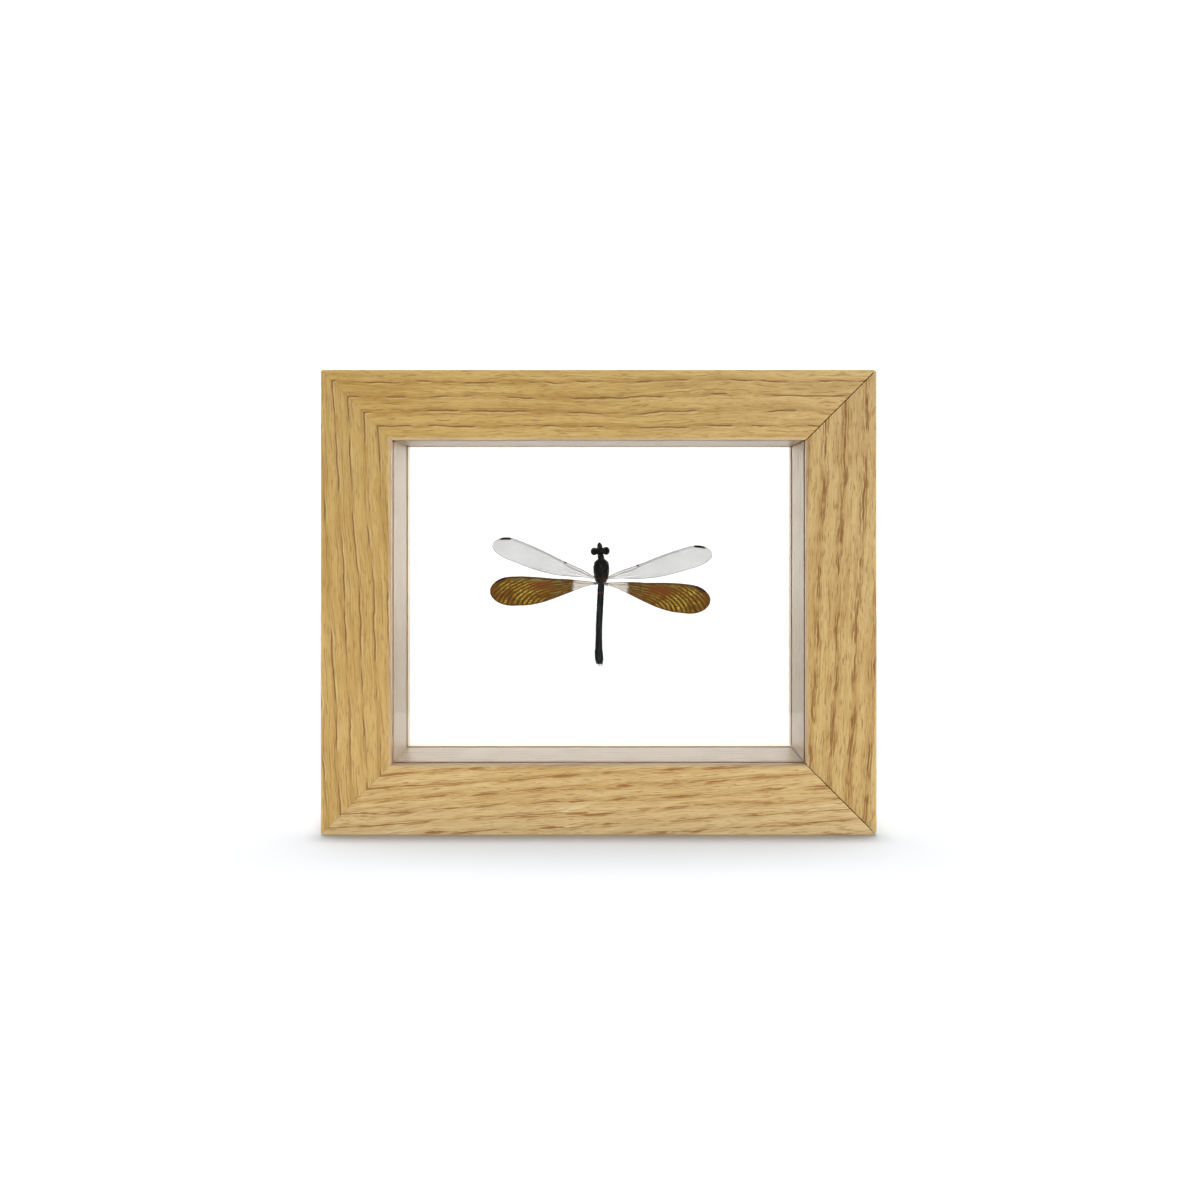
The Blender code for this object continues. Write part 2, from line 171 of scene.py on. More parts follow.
def tubeRings(path, radii, sides):
    # Rings of a round tube along a bent path, each square to the path and turned as little as can be
    path = np.asarray(path, float)
    along = np.gradient(path, axis=0)
    along /= np.linalg.norm(along, axis=1, keepdims=True)
    across = np.empty_like(path)
    current = np.array((1.0, 0.02, 0.03))
    for i, direction in enumerate(along):
        current = current - direction * current.dot(direction)
        current /= np.linalg.norm(current)
        across[i] = current
    second = np.cross(along, across)
    turn = turnsOf(sides)[None, :, None]
    radii = np.asarray(radii, float)[:, None, None]
    return path[:, None, :] + radii * (np.cos(turn) * across[:, None, :] + np.sin(turn) * second[:, None, :])


# Helpers for materials


def plug(tree, value, socket):
    if isinstance(value, bpy.types.NodeSocket):
        tree.links.new(value, socket)
    else:
        socket.default_value = value


def calc(tree, operation, *terms):
    node = tree.nodes.new("ShaderNodeMath")
    node.operation = operation
    for term, socket in zip(terms, node.inputs):
        plug(tree, term, socket)
    return node.outputs[0]


def times(tree, first, *others):
    # The product of all its terms
    for other in others:
        first = calc(tree, "MULTIPLY", first, other)
    return first


def plus(tree, first, *others):
    # The sum of all its terms
    for other in others:
        first = calc(tree, "ADD", first, other)
    return first


def minus(tree, first, second):
    return calc(tree, "SUBTRACT", first, second)


def distance(tree, value, place):
    # How far a value is from a place, either way
    return calc(tree, "ABSOLUTE", minus(tree, value, place))


def fade(tree, value, low, high, start=0.0, end=1.0):
    # A smooth step from start at low to end at high
    node = tree.nodes.new("ShaderNodeMapRange")
    node.interpolation_type = "SMOOTHSTEP"
    for term, socket in zip((value, low, high, start, end), node.inputs):
        plug(tree, term, socket)
    return node.outputs[0]


def blendColours(tree, share, first, second, way="MIX"):
    node = tree.nodes.new("ShaderNodeMix")
    node.data_type = "RGBA"
    node.blend_type = way
    for term, socket in zip((share, first, second), (node.inputs[0], node.inputs[6], node.inputs[7])):
        plug(tree, term, socket)
    return node.outputs[2]


def cloud(tree, vector, scale, detail=2.0, roughness=0.5):
    node = tree.nodes.new("ShaderNodeTexNoise")
    plug(tree, vector, node.inputs["Vector"])
    plug(tree, scale, node.inputs["Scale"])
    node.inputs["Detail"].default_value = detail
    node.inputs["Roughness"].default_value = roughness
    return node.outputs[0]


def vectorOf(tree, x, y, z=0.0):
    node = tree.nodes.new("ShaderNodeCombineXYZ")
    for term, socket in zip((x, y, z), node.inputs):
        plug(tree, term, socket)
    return node.outputs[0]


def partsOf(tree, vector):
    node = tree.nodes.new("ShaderNodeSeparateXYZ")
    plug(tree, vector, node.inputs[0])
    return node.outputs[0], node.outputs[1], node.outputs[2]


def stored(tree, name):
    node = tree.nodes.new("ShaderNodeAttribute")
    node.attribute_name = name
    return node.outputs["Vector"]


def onObject(tree):
    return tree.nodes.new("ShaderNodeTexCoord").outputs["Object"]


def groupWith(name, inputs, outputs):
    # An empty shader group with named inputs (name, kind, default) and outputs (name, kind)
    tree = bpy.data.node_groups.new(name, "ShaderNodeTree")
    for label, kind, default in inputs:
        socket = tree.interface.new_socket(label, in_out="INPUT", socket_type=f"NodeSocket{kind}")
        if default is not None:
            socket.default_value = default
    for label, kind in outputs:
        tree.interface.new_socket(label, in_out="OUTPUT", socket_type=f"NodeSocket{kind}")
    return tree, tree.nodes.new("NodeGroupInput").outputs, tree.nodes.new("NodeGroupOutput").inputs


def placeGroup(tree, group, **values):
    node = tree.nodes.new("ShaderNodeGroup")
    node.node_tree = group
    for label, value in values.items():
        plug(tree, value, node.inputs[label])
    return node.outputs


def newMaterial(name, **values):
    # A Principled material. Values are plain numbers or colours for its sockets, with _ for a space.
    material = bpy.data.materials.new(name)
    material.use_nodes = True
    shader = material.node_tree.nodes["Principled BSDF"]
    for label, value in values.items():
        shader.inputs[label.replace("_", " ")].default_value = value
    return material, material.node_tree, shader.inputs


def bumpInto(tree, inputs, height, depth, strength):
    node = tree.nodes.new("ShaderNodeBump")
    node.inputs["Strength"].default_value = strength
    node.inputs["Distance"].default_value = depth
    plug(tree, height, node.inputs["Height"])
    plug(tree, node.outputs[0], inputs["Normal"])


# The oak. Grain is laid along each moulding and round its section, in millimetres.

# Each rail has its own tones: partly its own wood, partly painted light, the bottom rail's paler base
# standing for light bounced up from the table.
oakLook = {
    "top": dict(
        base=(0.620, 0.418, 0.143), deep=(0.475, 0.290, 0.080), pore=(0.225, 0.092, 0.018), sap=0.0,
        spacing=3.25, shift=2.5, slope=0.0, wander=2.4, dash=7.0, width=0.17, density=0.56,
        feather=0.40, zone=0.60, highlight=0.45, fleck=0.0, seed=3.0,
    ),
    "left": dict(
        base=(0.595, 0.398, 0.143), deep=(0.470, 0.289, 0.082), pore=(0.215, 0.088, 0.017), sap=0.0,
        spacing=3.25, shift=2.5, slope=0.055, wander=2.4, dash=11.0, width=0.18, density=0.58,
        feather=0.35, zone=0.60, highlight=0.45, fleck=0.0, seed=3.0,
    ),
    "bottom": dict(
        base=(0.650, 0.462, 0.202), deep=(0.542, 0.350, 0.120), pore=(0.300, 0.122, 0.022), sap=0.40,
        spacing=3.25, shift=-1.92, slope=0.07, wander=3.0, dash=5.0, width=0.15, density=0.55,
        feather=1.0, zone=1.20, highlight=0.2, fleck=1.0, seed=3.0,
    ),
    "right": dict(
        base=(0.590, 0.402, 0.148), deep=(0.460, 0.278, 0.078), pore=(0.225, 0.088, 0.014), sap=0.0,
        spacing=4.2, shift=3.7, slope=-0.045, wander=2.2, dash=5.5, width=0.15, density=0.56,
        feather=1.0, zone=1.40, highlight=0.2, fleck=0.2, seed=14.0,
    ),
}


def buildOakGroup():
    # Dark pore dashes lie on growth lines that wander across the rail, feathered by finer streaks,
    # over soft fibre and broad tone
    settings = {
        "Spacing": 3.4, "Shift": 0.0, "Slope": 0.0, "Wander": 2.0, "Dash": 8.0, "Width": 0.16, "Density": 0.5,
        "Feather": 0.5, "Zone": 0.6, "Highlight": 0.5, "Fleck": 0.0, "Seed": 0.0, "Gather": 0.0,
    }
    tree, take, give = groupWith(
        "oakGrain",
        [("Place", "Vector", None)] + [(label, "Float", value) for label, value in settings.items()],
        [(label, "Float") for label in ("Tone", "Pores", "Crests", "Fibre", "Flecks")],
    )
    along, across, _ = partsOf(tree, take["Place"])

    def streaks(alongScale, acrossScale, place, detail, shift=0.0):
        # Noise stretched along the grain
        spot = vectorOf(tree, times(tree, along, alongScale), times(tree, place, acrossScale),
                        plus(tree, take["Seed"], shift))
        return cloud(tree, spot, 1.0, detail, 0.6)

    wander = times(tree, minus(tree, streaks(0.045, 0.08, across, 1.5), 0.5), take["Wander"])
    ripple = times(tree, minus(tree, streaks(0.26, 0.28, across, 1.5, 5.0), 0.5), 0.75)
    leaning = minus(tree, across, times(tree, along, take["Slope"]))
    bent = plus(tree, leaning, wander, ripple)

    def dashes(spacing, density, width, shift):
        # Dashes on every line: how far aside the nearest line is, its chance along it, the chance that a
        # dash needs, the dash, its reach to each side, and the mark itself
        count = calc(tree, "DIVIDE", minus(tree, bent, take["Shift"]), spacing)
        line = calc(tree, "ROUND", count)
        aside = times(tree, minus(tree, count, line), spacing)
        pick = plus(tree, times(tree, line, 7.31), plus(tree, take["Seed"], shift))
        chance = cloud(tree, vectorOf(tree, calc(tree, "DIVIDE", along, take["Dash"]), pick), 1.0, 1.2)
        chance = plus(tree, chance, times(tree, take["Gather"], 0.04))
        need = minus(tree, 1.0, density)
        dash = fade(tree, chance, need, plus(tree, need, 0.11))
        reach = times(tree, width, plus(tree, 0.55, times(tree, dash, 0.6)))
        side = fade(tree, calc(tree, "ABSOLUTE", aside), times(tree, reach, 0.35), reach, 1.0, 0.0)
        return aside, chance, need, dash, reach, times(tree, dash, side)

    aside, chance, need, dash, reach, mark = dashes(take["Spacing"], take["Density"], take["Width"], 0.0)
    apart = calc(tree, "ABSOLUTE", aside)
    # Thinner dashes on closer lines
    closer, fewer = times(tree, take["Spacing"], 0.37), minus(tree, take["Density"], 0.08)
    thin = dashes(closer, fewer, times(tree, take["Width"], 0.62), 40.0)[-1]
    mark = calc(tree, "MAXIMUM", mark, times(tree, thin, 0.6))
    # Feathered streaks gather about the dashes, and faint ticks lie everywhere.
    fine = streaks(0.16, 2.9, bent, 2.0, 11.0)
    likely = fade(tree, chance, minus(tree, need, 0.12), plus(tree, need, 0.10))
    nearby = times(tree, fade(tree, apart, 0.15, take["Zone"], 1.0, 0.0), likely)
    gathered = times(tree, fade(tree, fine, 0.49, 0.56), nearby, take["Feather"])
    faint = plus(tree, 0.35, times(tree, take["Feather"], 0.30))
    ticks = times(tree, fade(tree, streaks(0.30, 3.4, bent, 1.0, 23.0), 0.58, 0.68), faint)
    plug(tree, calc(tree, "MAXIMUM", calc(tree, "MAXIMUM", mark, gathered), ticks), give["Pores"])
    # A painted highlight runs along one side of each dash, as if a raised ridge caught the light.
    rise = fade(tree, aside, times(tree, reach, 0.8), times(tree, reach, 1.6))
    fall = fade(tree, aside, times(tree, reach, 1.9), times(tree, reach, 3.2), 1.0, 0.0)
    plug(tree, times(tree, rise, fall, dash, take["Highlight"]), give["Crests"])
    # Broad tone, darker beside each line
    broad = plus(tree, times(tree, streaks(0.030, 0.40, bent, 3.0, 31.0), 0.85),
                 times(tree, streaks(0.05, 1.3, bent, 2.0, 41.0), 0.55))
    tone = plus(tree, broad, times(tree, fade(tree, apart, 0.1, 1.1, 1.0, 0.0), 0.16))
    plug(tree, fade(tree, tone, 0.55, 0.98), give["Tone"])
    fibre = plus(tree, times(tree, streaks(0.16, 3.4, bent, 3.0, 51.0), 0.65),
                 times(tree, streaks(0.5, 8.0, bent, 2.0, 61.0), 0.35))
    plug(tree, fibre, give["Fibre"])
    # Ray flecks are pale slips that cross the grain at a slant, in a few places near the outer edge.
    slant = minus(tree, times(tree, along, 0.55), times(tree, across, 0.75))
    lift = plus(tree, times(tree, along, 0.09), times(tree, across, 0.20))
    slips = fade(tree, cloud(tree, vectorOf(tree, slant, lift, take["Seed"]), 1.0, 1.5), 0.52, 0.62)
    patch = fade(tree, streaks(0.055, 0.16, across, 1.0, 71.0), 0.50, 0.62)
    nearEdge = fade(tree, across, 5.0, 8.5, 1.0, 0.0)
    plug(tree, times(tree, slips, patch, take["Fleck"], nearEdge), give["Flecks"])
    return tree


oakGroup = buildOakGroup()
oakColours = {
    "fleck": (0.760, 0.600, 0.340, 1.0),
    # Painted highlight beside each dash
    "highlight": (0.780, 0.590, 0.300, 1.0),
    # Pale colour for painted light: the highlight on the outer rounded corner and the painted light on the
    # bottom rail's outer side
    "edge": (0.760, 0.590, 0.330, 1.0),
    # Painted reflection and highlight on the inner walls and lips
    "inside": (0.960, 0.795, 0.580, 1.0),
    # Painted light for the groove walls
    "groove": (0.760, 0.430, 0.230, 1.0),
    # Red, green and blue at the darkest and the palest fibre
    "fibre": ((0.86, 1.08), (0.79, 1.12), (0.66, 1.20)),
    "roughness": 0.34,
    # How strongly the painted highlight pales the outer rounded corner, and how strongly painted reflection
    # and highlight pale the wood from the lip on round the section
    "edgeHighlight": 0.28,
    "insideReflection": 0.62,
}


def oakMaterial(side):
    look = oakLook[side]
    material, tree, inputs = newMaterial(
        f"oak_{side}", Roughness=oakColours["roughness"], Specular_IOR_Level=0.3
    )
    coordinates = tree.nodes.new("ShaderNodeUVMap")
    coordinates.uv_map = "grain"
    scaled = tree.nodes.new("ShaderNodeVectorMath")
    scaled.operation = "SCALE"
    plug(tree, coordinates.outputs[0], scaled.inputs[0])
    scaled.inputs["Scale"].default_value = 1 / mm
    along, across, _ = partsOf(tree, scaled.outputs[0])
    # Dashes run on round the two left corners, where the grain's place along the length is nothing and then
    # the frame's height less twice the place across.
    secondCorner = minus(tree, moulding["height"] / mm, times(tree, across, 2.0))
    gather = plus(tree, fade(tree, calc(tree, "ABSOLUTE", along), 3.0, 10.0, 1.0, 0.0),
                  fade(tree, distance(tree, along, secondCorner), 3.0, 10.0, 1.0, 0.0))
    colours = ("base", "deep", "pore", "sap")
    settings = {label.title(): value for label, value in look.items() if label not in colours}
    grain = placeGroup(tree, oakGroup, Place=scaled.outputs[0], Gather=gather, **settings)
    colour = blendColours(tree, grain["Tone"], (*look["base"], 1.0), (*look["deep"], 1.0))
    # Dark fibres are redder than pale ones.
    fibre = [fade(tree, grain["Fibre"], 0.32, 0.68, dark, pale) for dark, pale in oakColours["fibre"]]
    colour = blendColours(tree, 1.0, colour, vectorOf(tree, *fibre), "MULTIPLY")
    colour = blendColours(tree, times(tree, grain["Flecks"], 0.75), colour, oakColours["fleck"])
    colour = blendColours(tree, grain["Crests"], colour, oakColours["highlight"])
    # Towards the rail's outer side the wood is painted paler, a painted light against the shade near the
    # table; only the bottom rail has it.
    colour = blendColours(tree, fade(tree, across, 0.0, 9.0, look["sap"], 0.0), colour, oakColours["edge"])
    colour = blendColours(tree, times(tree, grain["Pores"], 0.92), colour, (*look["pore"], 1.0))
    # The outer rounded corner gets a painted highlight. From the lip on round the section, inner walls
    # included, the wood is painted paler: a painted reflection of the bright wall behind, and a painted
    # highlight on the lips.
    edgeHighlight = fade(tree, calc(tree, "ABSOLUTE", across), 0.1, 0.5, oakColours["edgeHighlight"], 0.0)
    colour = blendColours(tree, edgeHighlight, colour, oakColours["edge"])
    rail = moulding["rail"] / mm
    insideReflection = fade(tree, across, rail - 0.9, rail + 0.6, 0.0, oakColours["insideReflection"])
    colour = blendColours(tree, insideReflection, colour, oakColours["inside"])
    # The grooves' walls are reddish, painted paler than they are as a painted light that lifts the shade the
    # panes leave in them.
    _, back, _ = partsOf(tree, onObject(tree))
    halfGroove = moulding["grooveWidth"] / 2
    for place in moulding["grooves"]:
        off = distance(tree, back, place - moulding["depth"] / 2)
        inGroove = times(
            tree,
            fade(tree, off, halfGroove, halfGroove + 0.15 * mm, 1.0, 0.0),
            fade(tree, across, rail, rail + 1.0),
            fade(tree, across, rail + 48.0, rail + 50.0, 1.0, 0.0),
        )
        colour = blendColours(tree, inGroove, colour, oakColours["groove"])
    plug(tree, colour, inputs["Base Color"])
    smooth, coarse = oakColours["roughness"] - 0.05, oakColours["roughness"] + 0.10
    rough = fade(tree, grain["Fibre"], 0.2, 0.8, smooth, coarse)
    plug(tree, plus(tree, rough, times(tree, grain["Pores"], 0.2)), inputs["Roughness"])
    height = minus(tree, times(tree, grain["Fibre"], 0.25), grain["Pores"])
    bumpInto(tree, inputs, height, 0.00006, 0.5)
    return material


# The mouldings

moulding = {
    "width": 120.0 * mm,
    "height": 100.5 * mm,
    "depth": 30.0 * mm,
    "rail": 15.2 * mm,
    "edge": 0.3 * mm,  # rounding of the outer edges
    "lip": 0.65 * mm,  # rounding round the opening
    "edgeSteps": 6,
    "corner": 0.7 * mm,  # rounding of the frame's four corners
    "grooveWidth": 2.6 * mm,
    "grooveDepth": 4.0 * mm,
    "grooves": (3.2 * mm, 24.5 * mm),
    "support": 0.12 * mm,  # how far beside a rounding the flat is held
    "tightGap": 0.012 * mm,  # each rail's share of the gap in a tight mitre
    "openGap": 0.075 * mm,  # and in an open one
    "openEase": 0.07 * mm,
}


def quarterArc(across, back, radius, startDegrees):
    # Centre + radius * (cos, sin), through a quarter turn
    turn = np.radians(startDegrees + np.linspace(0, 90, moulding["edgeSteps"] + 1))
    return np.stack([across + radius * np.cos(turn), back + radius * np.sin(turn)], axis=1)


def mouldingSection():
    # The rail's outline as (across from its outer side, back from the front), with support points at the arcs
    edge, lip, support = moulding["edge"], moulding["lip"], moulding["support"]
    rail, depth = moulding["rail"], moulding["depth"]
    floor = rail - moulding["grooveDepth"]
    grooves = []
    for place in moulding["grooves"]:
        near, far = place - moulding["grooveWidth"] / 2, place + moulding["grooveWidth"] / 2
        grooves.append([(rail, near), (floor, near), (floor, far), (rail, far)])
    return np.concatenate(
        [
            quarterArc(edge, edge, edge, 180),
            [(edge + support, 0), (rail - lip - support, 0)],
            quarterArc(rail - lip, lip, lip, 270),
            [(rail, lip + support)],
            grooves[0],
            grooves[1],
            [(rail, depth - lip - support)],
            quarterArc(rail - lip, depth - lip, lip, 0),
            [(rail - lip - support, depth), (edge + support, depth)],
            quarterArc(edge, depth - edge, edge, 90),
            [(0, depth - edge - support), (0, edge + support)],
        ]
    )


def insetSection(section, amount):
    # Each point moves inwards along the mean of its two sides' normals
    before = section - np.roll(section, 1, axis=0)
    after = np.roll(section, -1, axis=0) - section
    sides = [side / np.linalg.norm(side, axis=1, keepdims=True) for side in (before, after)]
    mean = sides[0] + sides[1]
    mean /= np.linalg.norm(mean, axis=1, keepdims=True)
    return section + np.stack([-mean[:, 1], mean[:, 0]], axis=1) * amount


def sweepMoulding(name, length, place, endsOpen):
    # The section carried along x, with ends cut at 45 degrees: x = half length - across - gap - step.
    # An open end has its edge eased. Each ring keeps behind the rounded outer corner of radius R, so its
    # least across is R - (step + sqrt(2 R^2 - step^2)) / 2. place turns (x, across, back) into the world.
    section = mouldingSection()
    count = len(section)
    corner = moulding["corner"]
    rings = []
    for side, isOpen in zip((-1, 1), endsOpen):
        gap = (moulding["openGap"] if isOpen else moulding["tightGap"]) * math.sqrt(2)
        easeBy = moulding["openEase"] if isOpen else 0.2 * moulding["openEase"]
        end = [(insetSection(section, easeBy), 0.0, 0.0)]
        end += [(section, easeBy, step) for step in np.linspace(0, corner, 5)]
        end = [(outline, shorter + step, corner - (step + math.sqrt(2 * corner**2 - step**2)) / 2)
               for outline, shorter, step in end]
        end = [
            np.column_stack([side * (length / 2 - np.maximum(outline[:, 0], least) - gap - shorter),
                             np.maximum(outline[:, 0], least), outline[:, 1]])
            for outline, shorter, least in end
        ]
        rings += end if side < 0 else end[::-1]
    rings = np.stack(rings)
    rows = len(rings)
    quads, _ = ringFaces(rows, count)
    caps = np.stack([np.arange(count)[::-1], (rows - 1) * count + np.arange(count)])
    points = place(rings.reshape(-1, 3))
    piece = meshPiece(name, points, quads, caps)
    # Grain: u runs along the moulding, and v round its section from the outer front corner. The third value
    # is how far across the rail a corner is.
    sides = np.roll(section, -1, axis=0) - section
    around = np.concatenate([[0], np.cumsum(np.linalg.norm(sides, axis=1))])
    around -= around[moulding["edgeSteps"] // 2]
    _, side = np.meshgrid(np.arange(rows - 1), np.arange(count), indexing="ij")
    v = np.stack([around[side], around[side + 1], around[side + 1], around[side]], axis=-1).reshape(-1)
    order = np.concatenate([quads.ravel(), caps.ravel()])
    x, across = rings.reshape(-1, 3)[order, 0], rings.reshape(-1, 3)[order, 1]
    return piece, np.stack([x, np.concatenate([v, across[len(v):]]), across], axis=1)


def cutPockets(piece, cutters):
    # Takes the nails' pockets out of a moulding and keeps the result as its mesh
    for cutter in cutters:
        cut = piece.modifiers.new(cutter.name, "BOOLEAN")
        cut.operation = "DIFFERENCE"
        cut.solver = "EXACT"
        cut.object = cutter
    depsgraph = bpy.context.evaluated_depsgraph_get()
    finished = bpy.data.meshes.new_from_object(piece.evaluated_get(depsgraph))
    piece.modifiers.clear()
    piece.data = finished


vNail = {
    "arm": 4.6 * mm,
    "thickness": 0.7 * mm,
    "length": 8.2 * mm,
    "place": 8.6 * mm,
    "halfAngle": math.radians(42),
    "room": 0.12 * mm,
}


def nailCutter(name, corner):
    # The V seen from behind: two arms at the half angle from the line out of the corner, with room all round
    arm, half, lean = vNail["arm"] + vNail["room"], vNail["thickness"] / 2 + vNail["room"], vNail["halfAngle"]
    along = np.array([math.cos(lean), math.sin(lean)])
    across = np.array([-math.sin(lean), math.cos(lean)])
    point = half / math.sin(lean)
    upper = np.stack([along * arm - across * half, along * arm + across * half])
    outline = np.stack([[point, 0], upper[0], upper[1], [-point, 0], upper[1] * (1, -1), upper[0] * (1, -1)])
    outward = np.array(corner) / math.sqrt(2)
    sideways = np.array([-outward[1], outward[0]])
    centre = np.array([
        corner[0] * (moulding["width"] / 2 - vNail["place"]),
        moulding["height"] / 2 + corner[1] * (moulding["height"] / 2 - vNail["place"]),
    ])
    flat = centre + outline[:, :1] * outward + outline[:, 1:] * sideways
    back = moulding["depth"] / 2
    levels = (back - vNail["length"] - vNail["room"], back + 1 * mm)
    points = np.concatenate([np.insert(flat, 1, level, axis=1) for level in levels])
    around = np.arange(6)
    beyond = (around + 1) % 6
    quads = np.stack([beyond, around, around + 6, beyond + 6], axis=-1)
    caps = np.stack([around, around[::-1] + 6])
    cutter = meshPiece(name, points, quads, caps)
    cutter.hide_render = True
    return cutter


def buildMouldings():
    width, height, half = moulding["width"], moulding["height"], moulding["depth"] / 2
    # Top, left and bottom were cut one after another from a single length, so their grain runs on round the
    # two left corners. Each entry: length, world from (x, across, back), and grain along from (x, across).
    sides = {
        "top": (
            width, lambda p: np.stack([-p[:, 0], p[:, 2] - half, height - p[:, 1]], axis=1),
            lambda x, a: x - width / 2 + a, (True, False),
        ),
        "left": (
            height, lambda p: np.stack([p[:, 1] - width / 2, p[:, 2] - half, height / 2 - p[:, 0]], axis=1),
            lambda x, a: x + height / 2 - a, (False, False),
        ),
        "bottom": (
            width, lambda p: np.stack([p[:, 0], p[:, 2] - half, p[:, 1]], axis=1),
            lambda x, a: x + width / 2 + height - 3 * a, (False, True),
        ),
        "right": (
            height, lambda p: np.stack([width / 2 - p[:, 1], p[:, 2] - half, height / 2 + p[:, 0]], axis=1),
            lambda x, a: x + height / 2 + width + height, (True, True),
        ),
    }
    cutters = {
        (level, side): nailCutter(f"pocket_{level}_{side}", (right, up))
        for level, up in (("top", 1), ("bottom", -1))
        for side, right in (("left", -1), ("right", 1))
    }
    for side, (length, place, grainAlong, endsOpen) in sides.items():
        piece, grain = sweepMoulding(f"moulding_{side}", length, place, endsOpen)
        grain[:, 0] = grainAlong(grain[:, 0], grain[:, 2])
        layer = piece.data.uv_layers.new(name="grain")
        layer.data.foreach_set("uv", grain[:, :2].astype(np.float32).ravel())
        cutPockets(piece, [cutter for key, cutter in cutters.items() if side in key])
        piece.data.materials.clear()
        finishPiece(piece, oakMaterial(side), [f"rail_{side}"], 30)
    for cutter in cutters.values():
        bpy.data.objects.remove(cutter)
    print("mouldings done")


# The panes and the fastenings keep their CAD shapes.

fittings = {
    "glass": (0.994, 0.996, 0.992, 1.0),
    "steelPale": (0.60, 0.60, 0.60, 1.0),
    "steelDark": (0.36, 0.35, 0.34, 1.0),
}


def dressNode(nodeName, material):
    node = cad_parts[nodeName]
    node.data.materials.clear()
    node.data.materials.append(material)


def glassMaterial():
    material, tree, inputs = newMaterial(
        "clearGlass", Base_Color=fittings["glass"], Roughness=0.0, IOR=1.5, Transmission_Weight=1.0
    )
    # A trace of unevenness in the float glass
    wave = cloud(tree, onObject(tree), 30.0, 1.0)
    bumpInto(tree, inputs, wave, 0.0001, 0.05)
    return material


def steelMaterial():
    material, tree, inputs = newMaterial("nailSteel", Metallic=1.0)
    x, y, z = partsOf(tree, onObject(tree))
    spot = vectorOf(tree, times(tree, x, 900.0), times(tree, y, 60.0), times(tree, z, 900.0))
    streak = cloud(tree, spot, 1.0, 3.0)
    plug(tree, blendColours(tree, streak, fittings["steelPale"], fittings["steelDark"]), inputs["Base Color"])
    plug(tree, fade(tree, streak, 0.2, 0.8, 0.25, 0.5), inputs["Roughness"])
    bumpInto(tree, inputs, streak, 0.00002, 0.4)
    return material


def buildFittings():
    glass = glassMaterial()
    for name in ("glass_front", "glass_back"):
        dressNode(name, glass)
    steel = steelMaterial()
    for corner in ("top_left", "top_right", "bottom_left", "bottom_right"):
        dressNode(f"v_nail_{corner}", steel)
    print("panes and nails done")


# The damselfly. Places are (right, up, back) in millimetres from the wing roots.

insect = {
    "right": 0.43,
    "up": 54.33,
    "back": 5.2,
    "chitinRough": 0.42,
    "gloss": 0.16,
    # Dark and pale of each kind of skin
    "chitin": ((0.004, 0.0035, 0.004), (0.040, 0.024, 0.014)),
    "rust": ((0.014, 0.007, 0.005), (0.150, 0.068, 0.030)),
    "horn": ((0.120, 0.085, 0.070), (0.330, 0.260, 0.220)),
    # The eye's pale is a painted highlight
    "eye": ((0.006, 0.005, 0.004, 1.0), (0.070, 0.062, 0.042, 1.0)),
    # The abdomen's pale is a painted highlight along its middle
    "centreHighlight": ((0.004, 0.0035, 0.004, 1.0), (0.034, 0.034, 0.038, 1.0)),
    # Marks on the skin
    "ring": (0.150, 0.058, 0.036, 1.0),
    "ringAt": 2.52,
    "brown": (0.075, 0.045, 0.026, 1.0),
    # Painted glints: bluish highlights painted on the thorax
    "paintedGlints": (0.150, 0.165, 0.190, 1.0),
    "rootRust": (0.085, 0.042, 0.019, 1.0),
}


def inFrame(points):
    # (right, up, back) millimetres on the insect as world metres
    right, up, back = np.moveaxis(np.asarray(points, float), -1, 0)
    return np.stack([right + insect["right"], back + insect["back"], up + insect["up"]], axis=-1) * mm


def buildMottleGroup():
    # Uneven cuticle: broad blotches, fine grain, and a height from both
    tree, take, give = groupWith(
        "cuticleMottle",
        [
            ("Place", "Vector", None), ("Blotch", "Float", 900.0), ("Grain", "Float", 6000.0),
            ("Seed", "Float", 0.0),
        ],
        [("Blotches", "Float"), ("Grains", "Float"), ("Height", "Float")],
    )
    shift = tree.nodes.new("ShaderNodeVectorMath")
    plug(tree, take["Place"], shift.inputs[0])
    plug(tree, vectorOf(tree, take["Seed"], 0.0, 0.0), shift.inputs[1])
    blotch = cloud(tree, shift.outputs[0], take["Blotch"], 3.0, 0.6)
    cells = tree.nodes.new("ShaderNodeTexVoronoi")
    plug(tree, shift.outputs[0], cells.inputs["Vector"])
    plug(tree, take["Grain"], cells.inputs["Scale"])
    grain = cells.outputs["Distance"]
    plug(tree, blotch, give["Blotches"])
    plug(tree, grain, give["Grains"])
    plug(tree, plus(tree, times(tree, grain, 0.25), blotch), give["Height"])
    return tree


mottleGroup = buildMottleGroup()


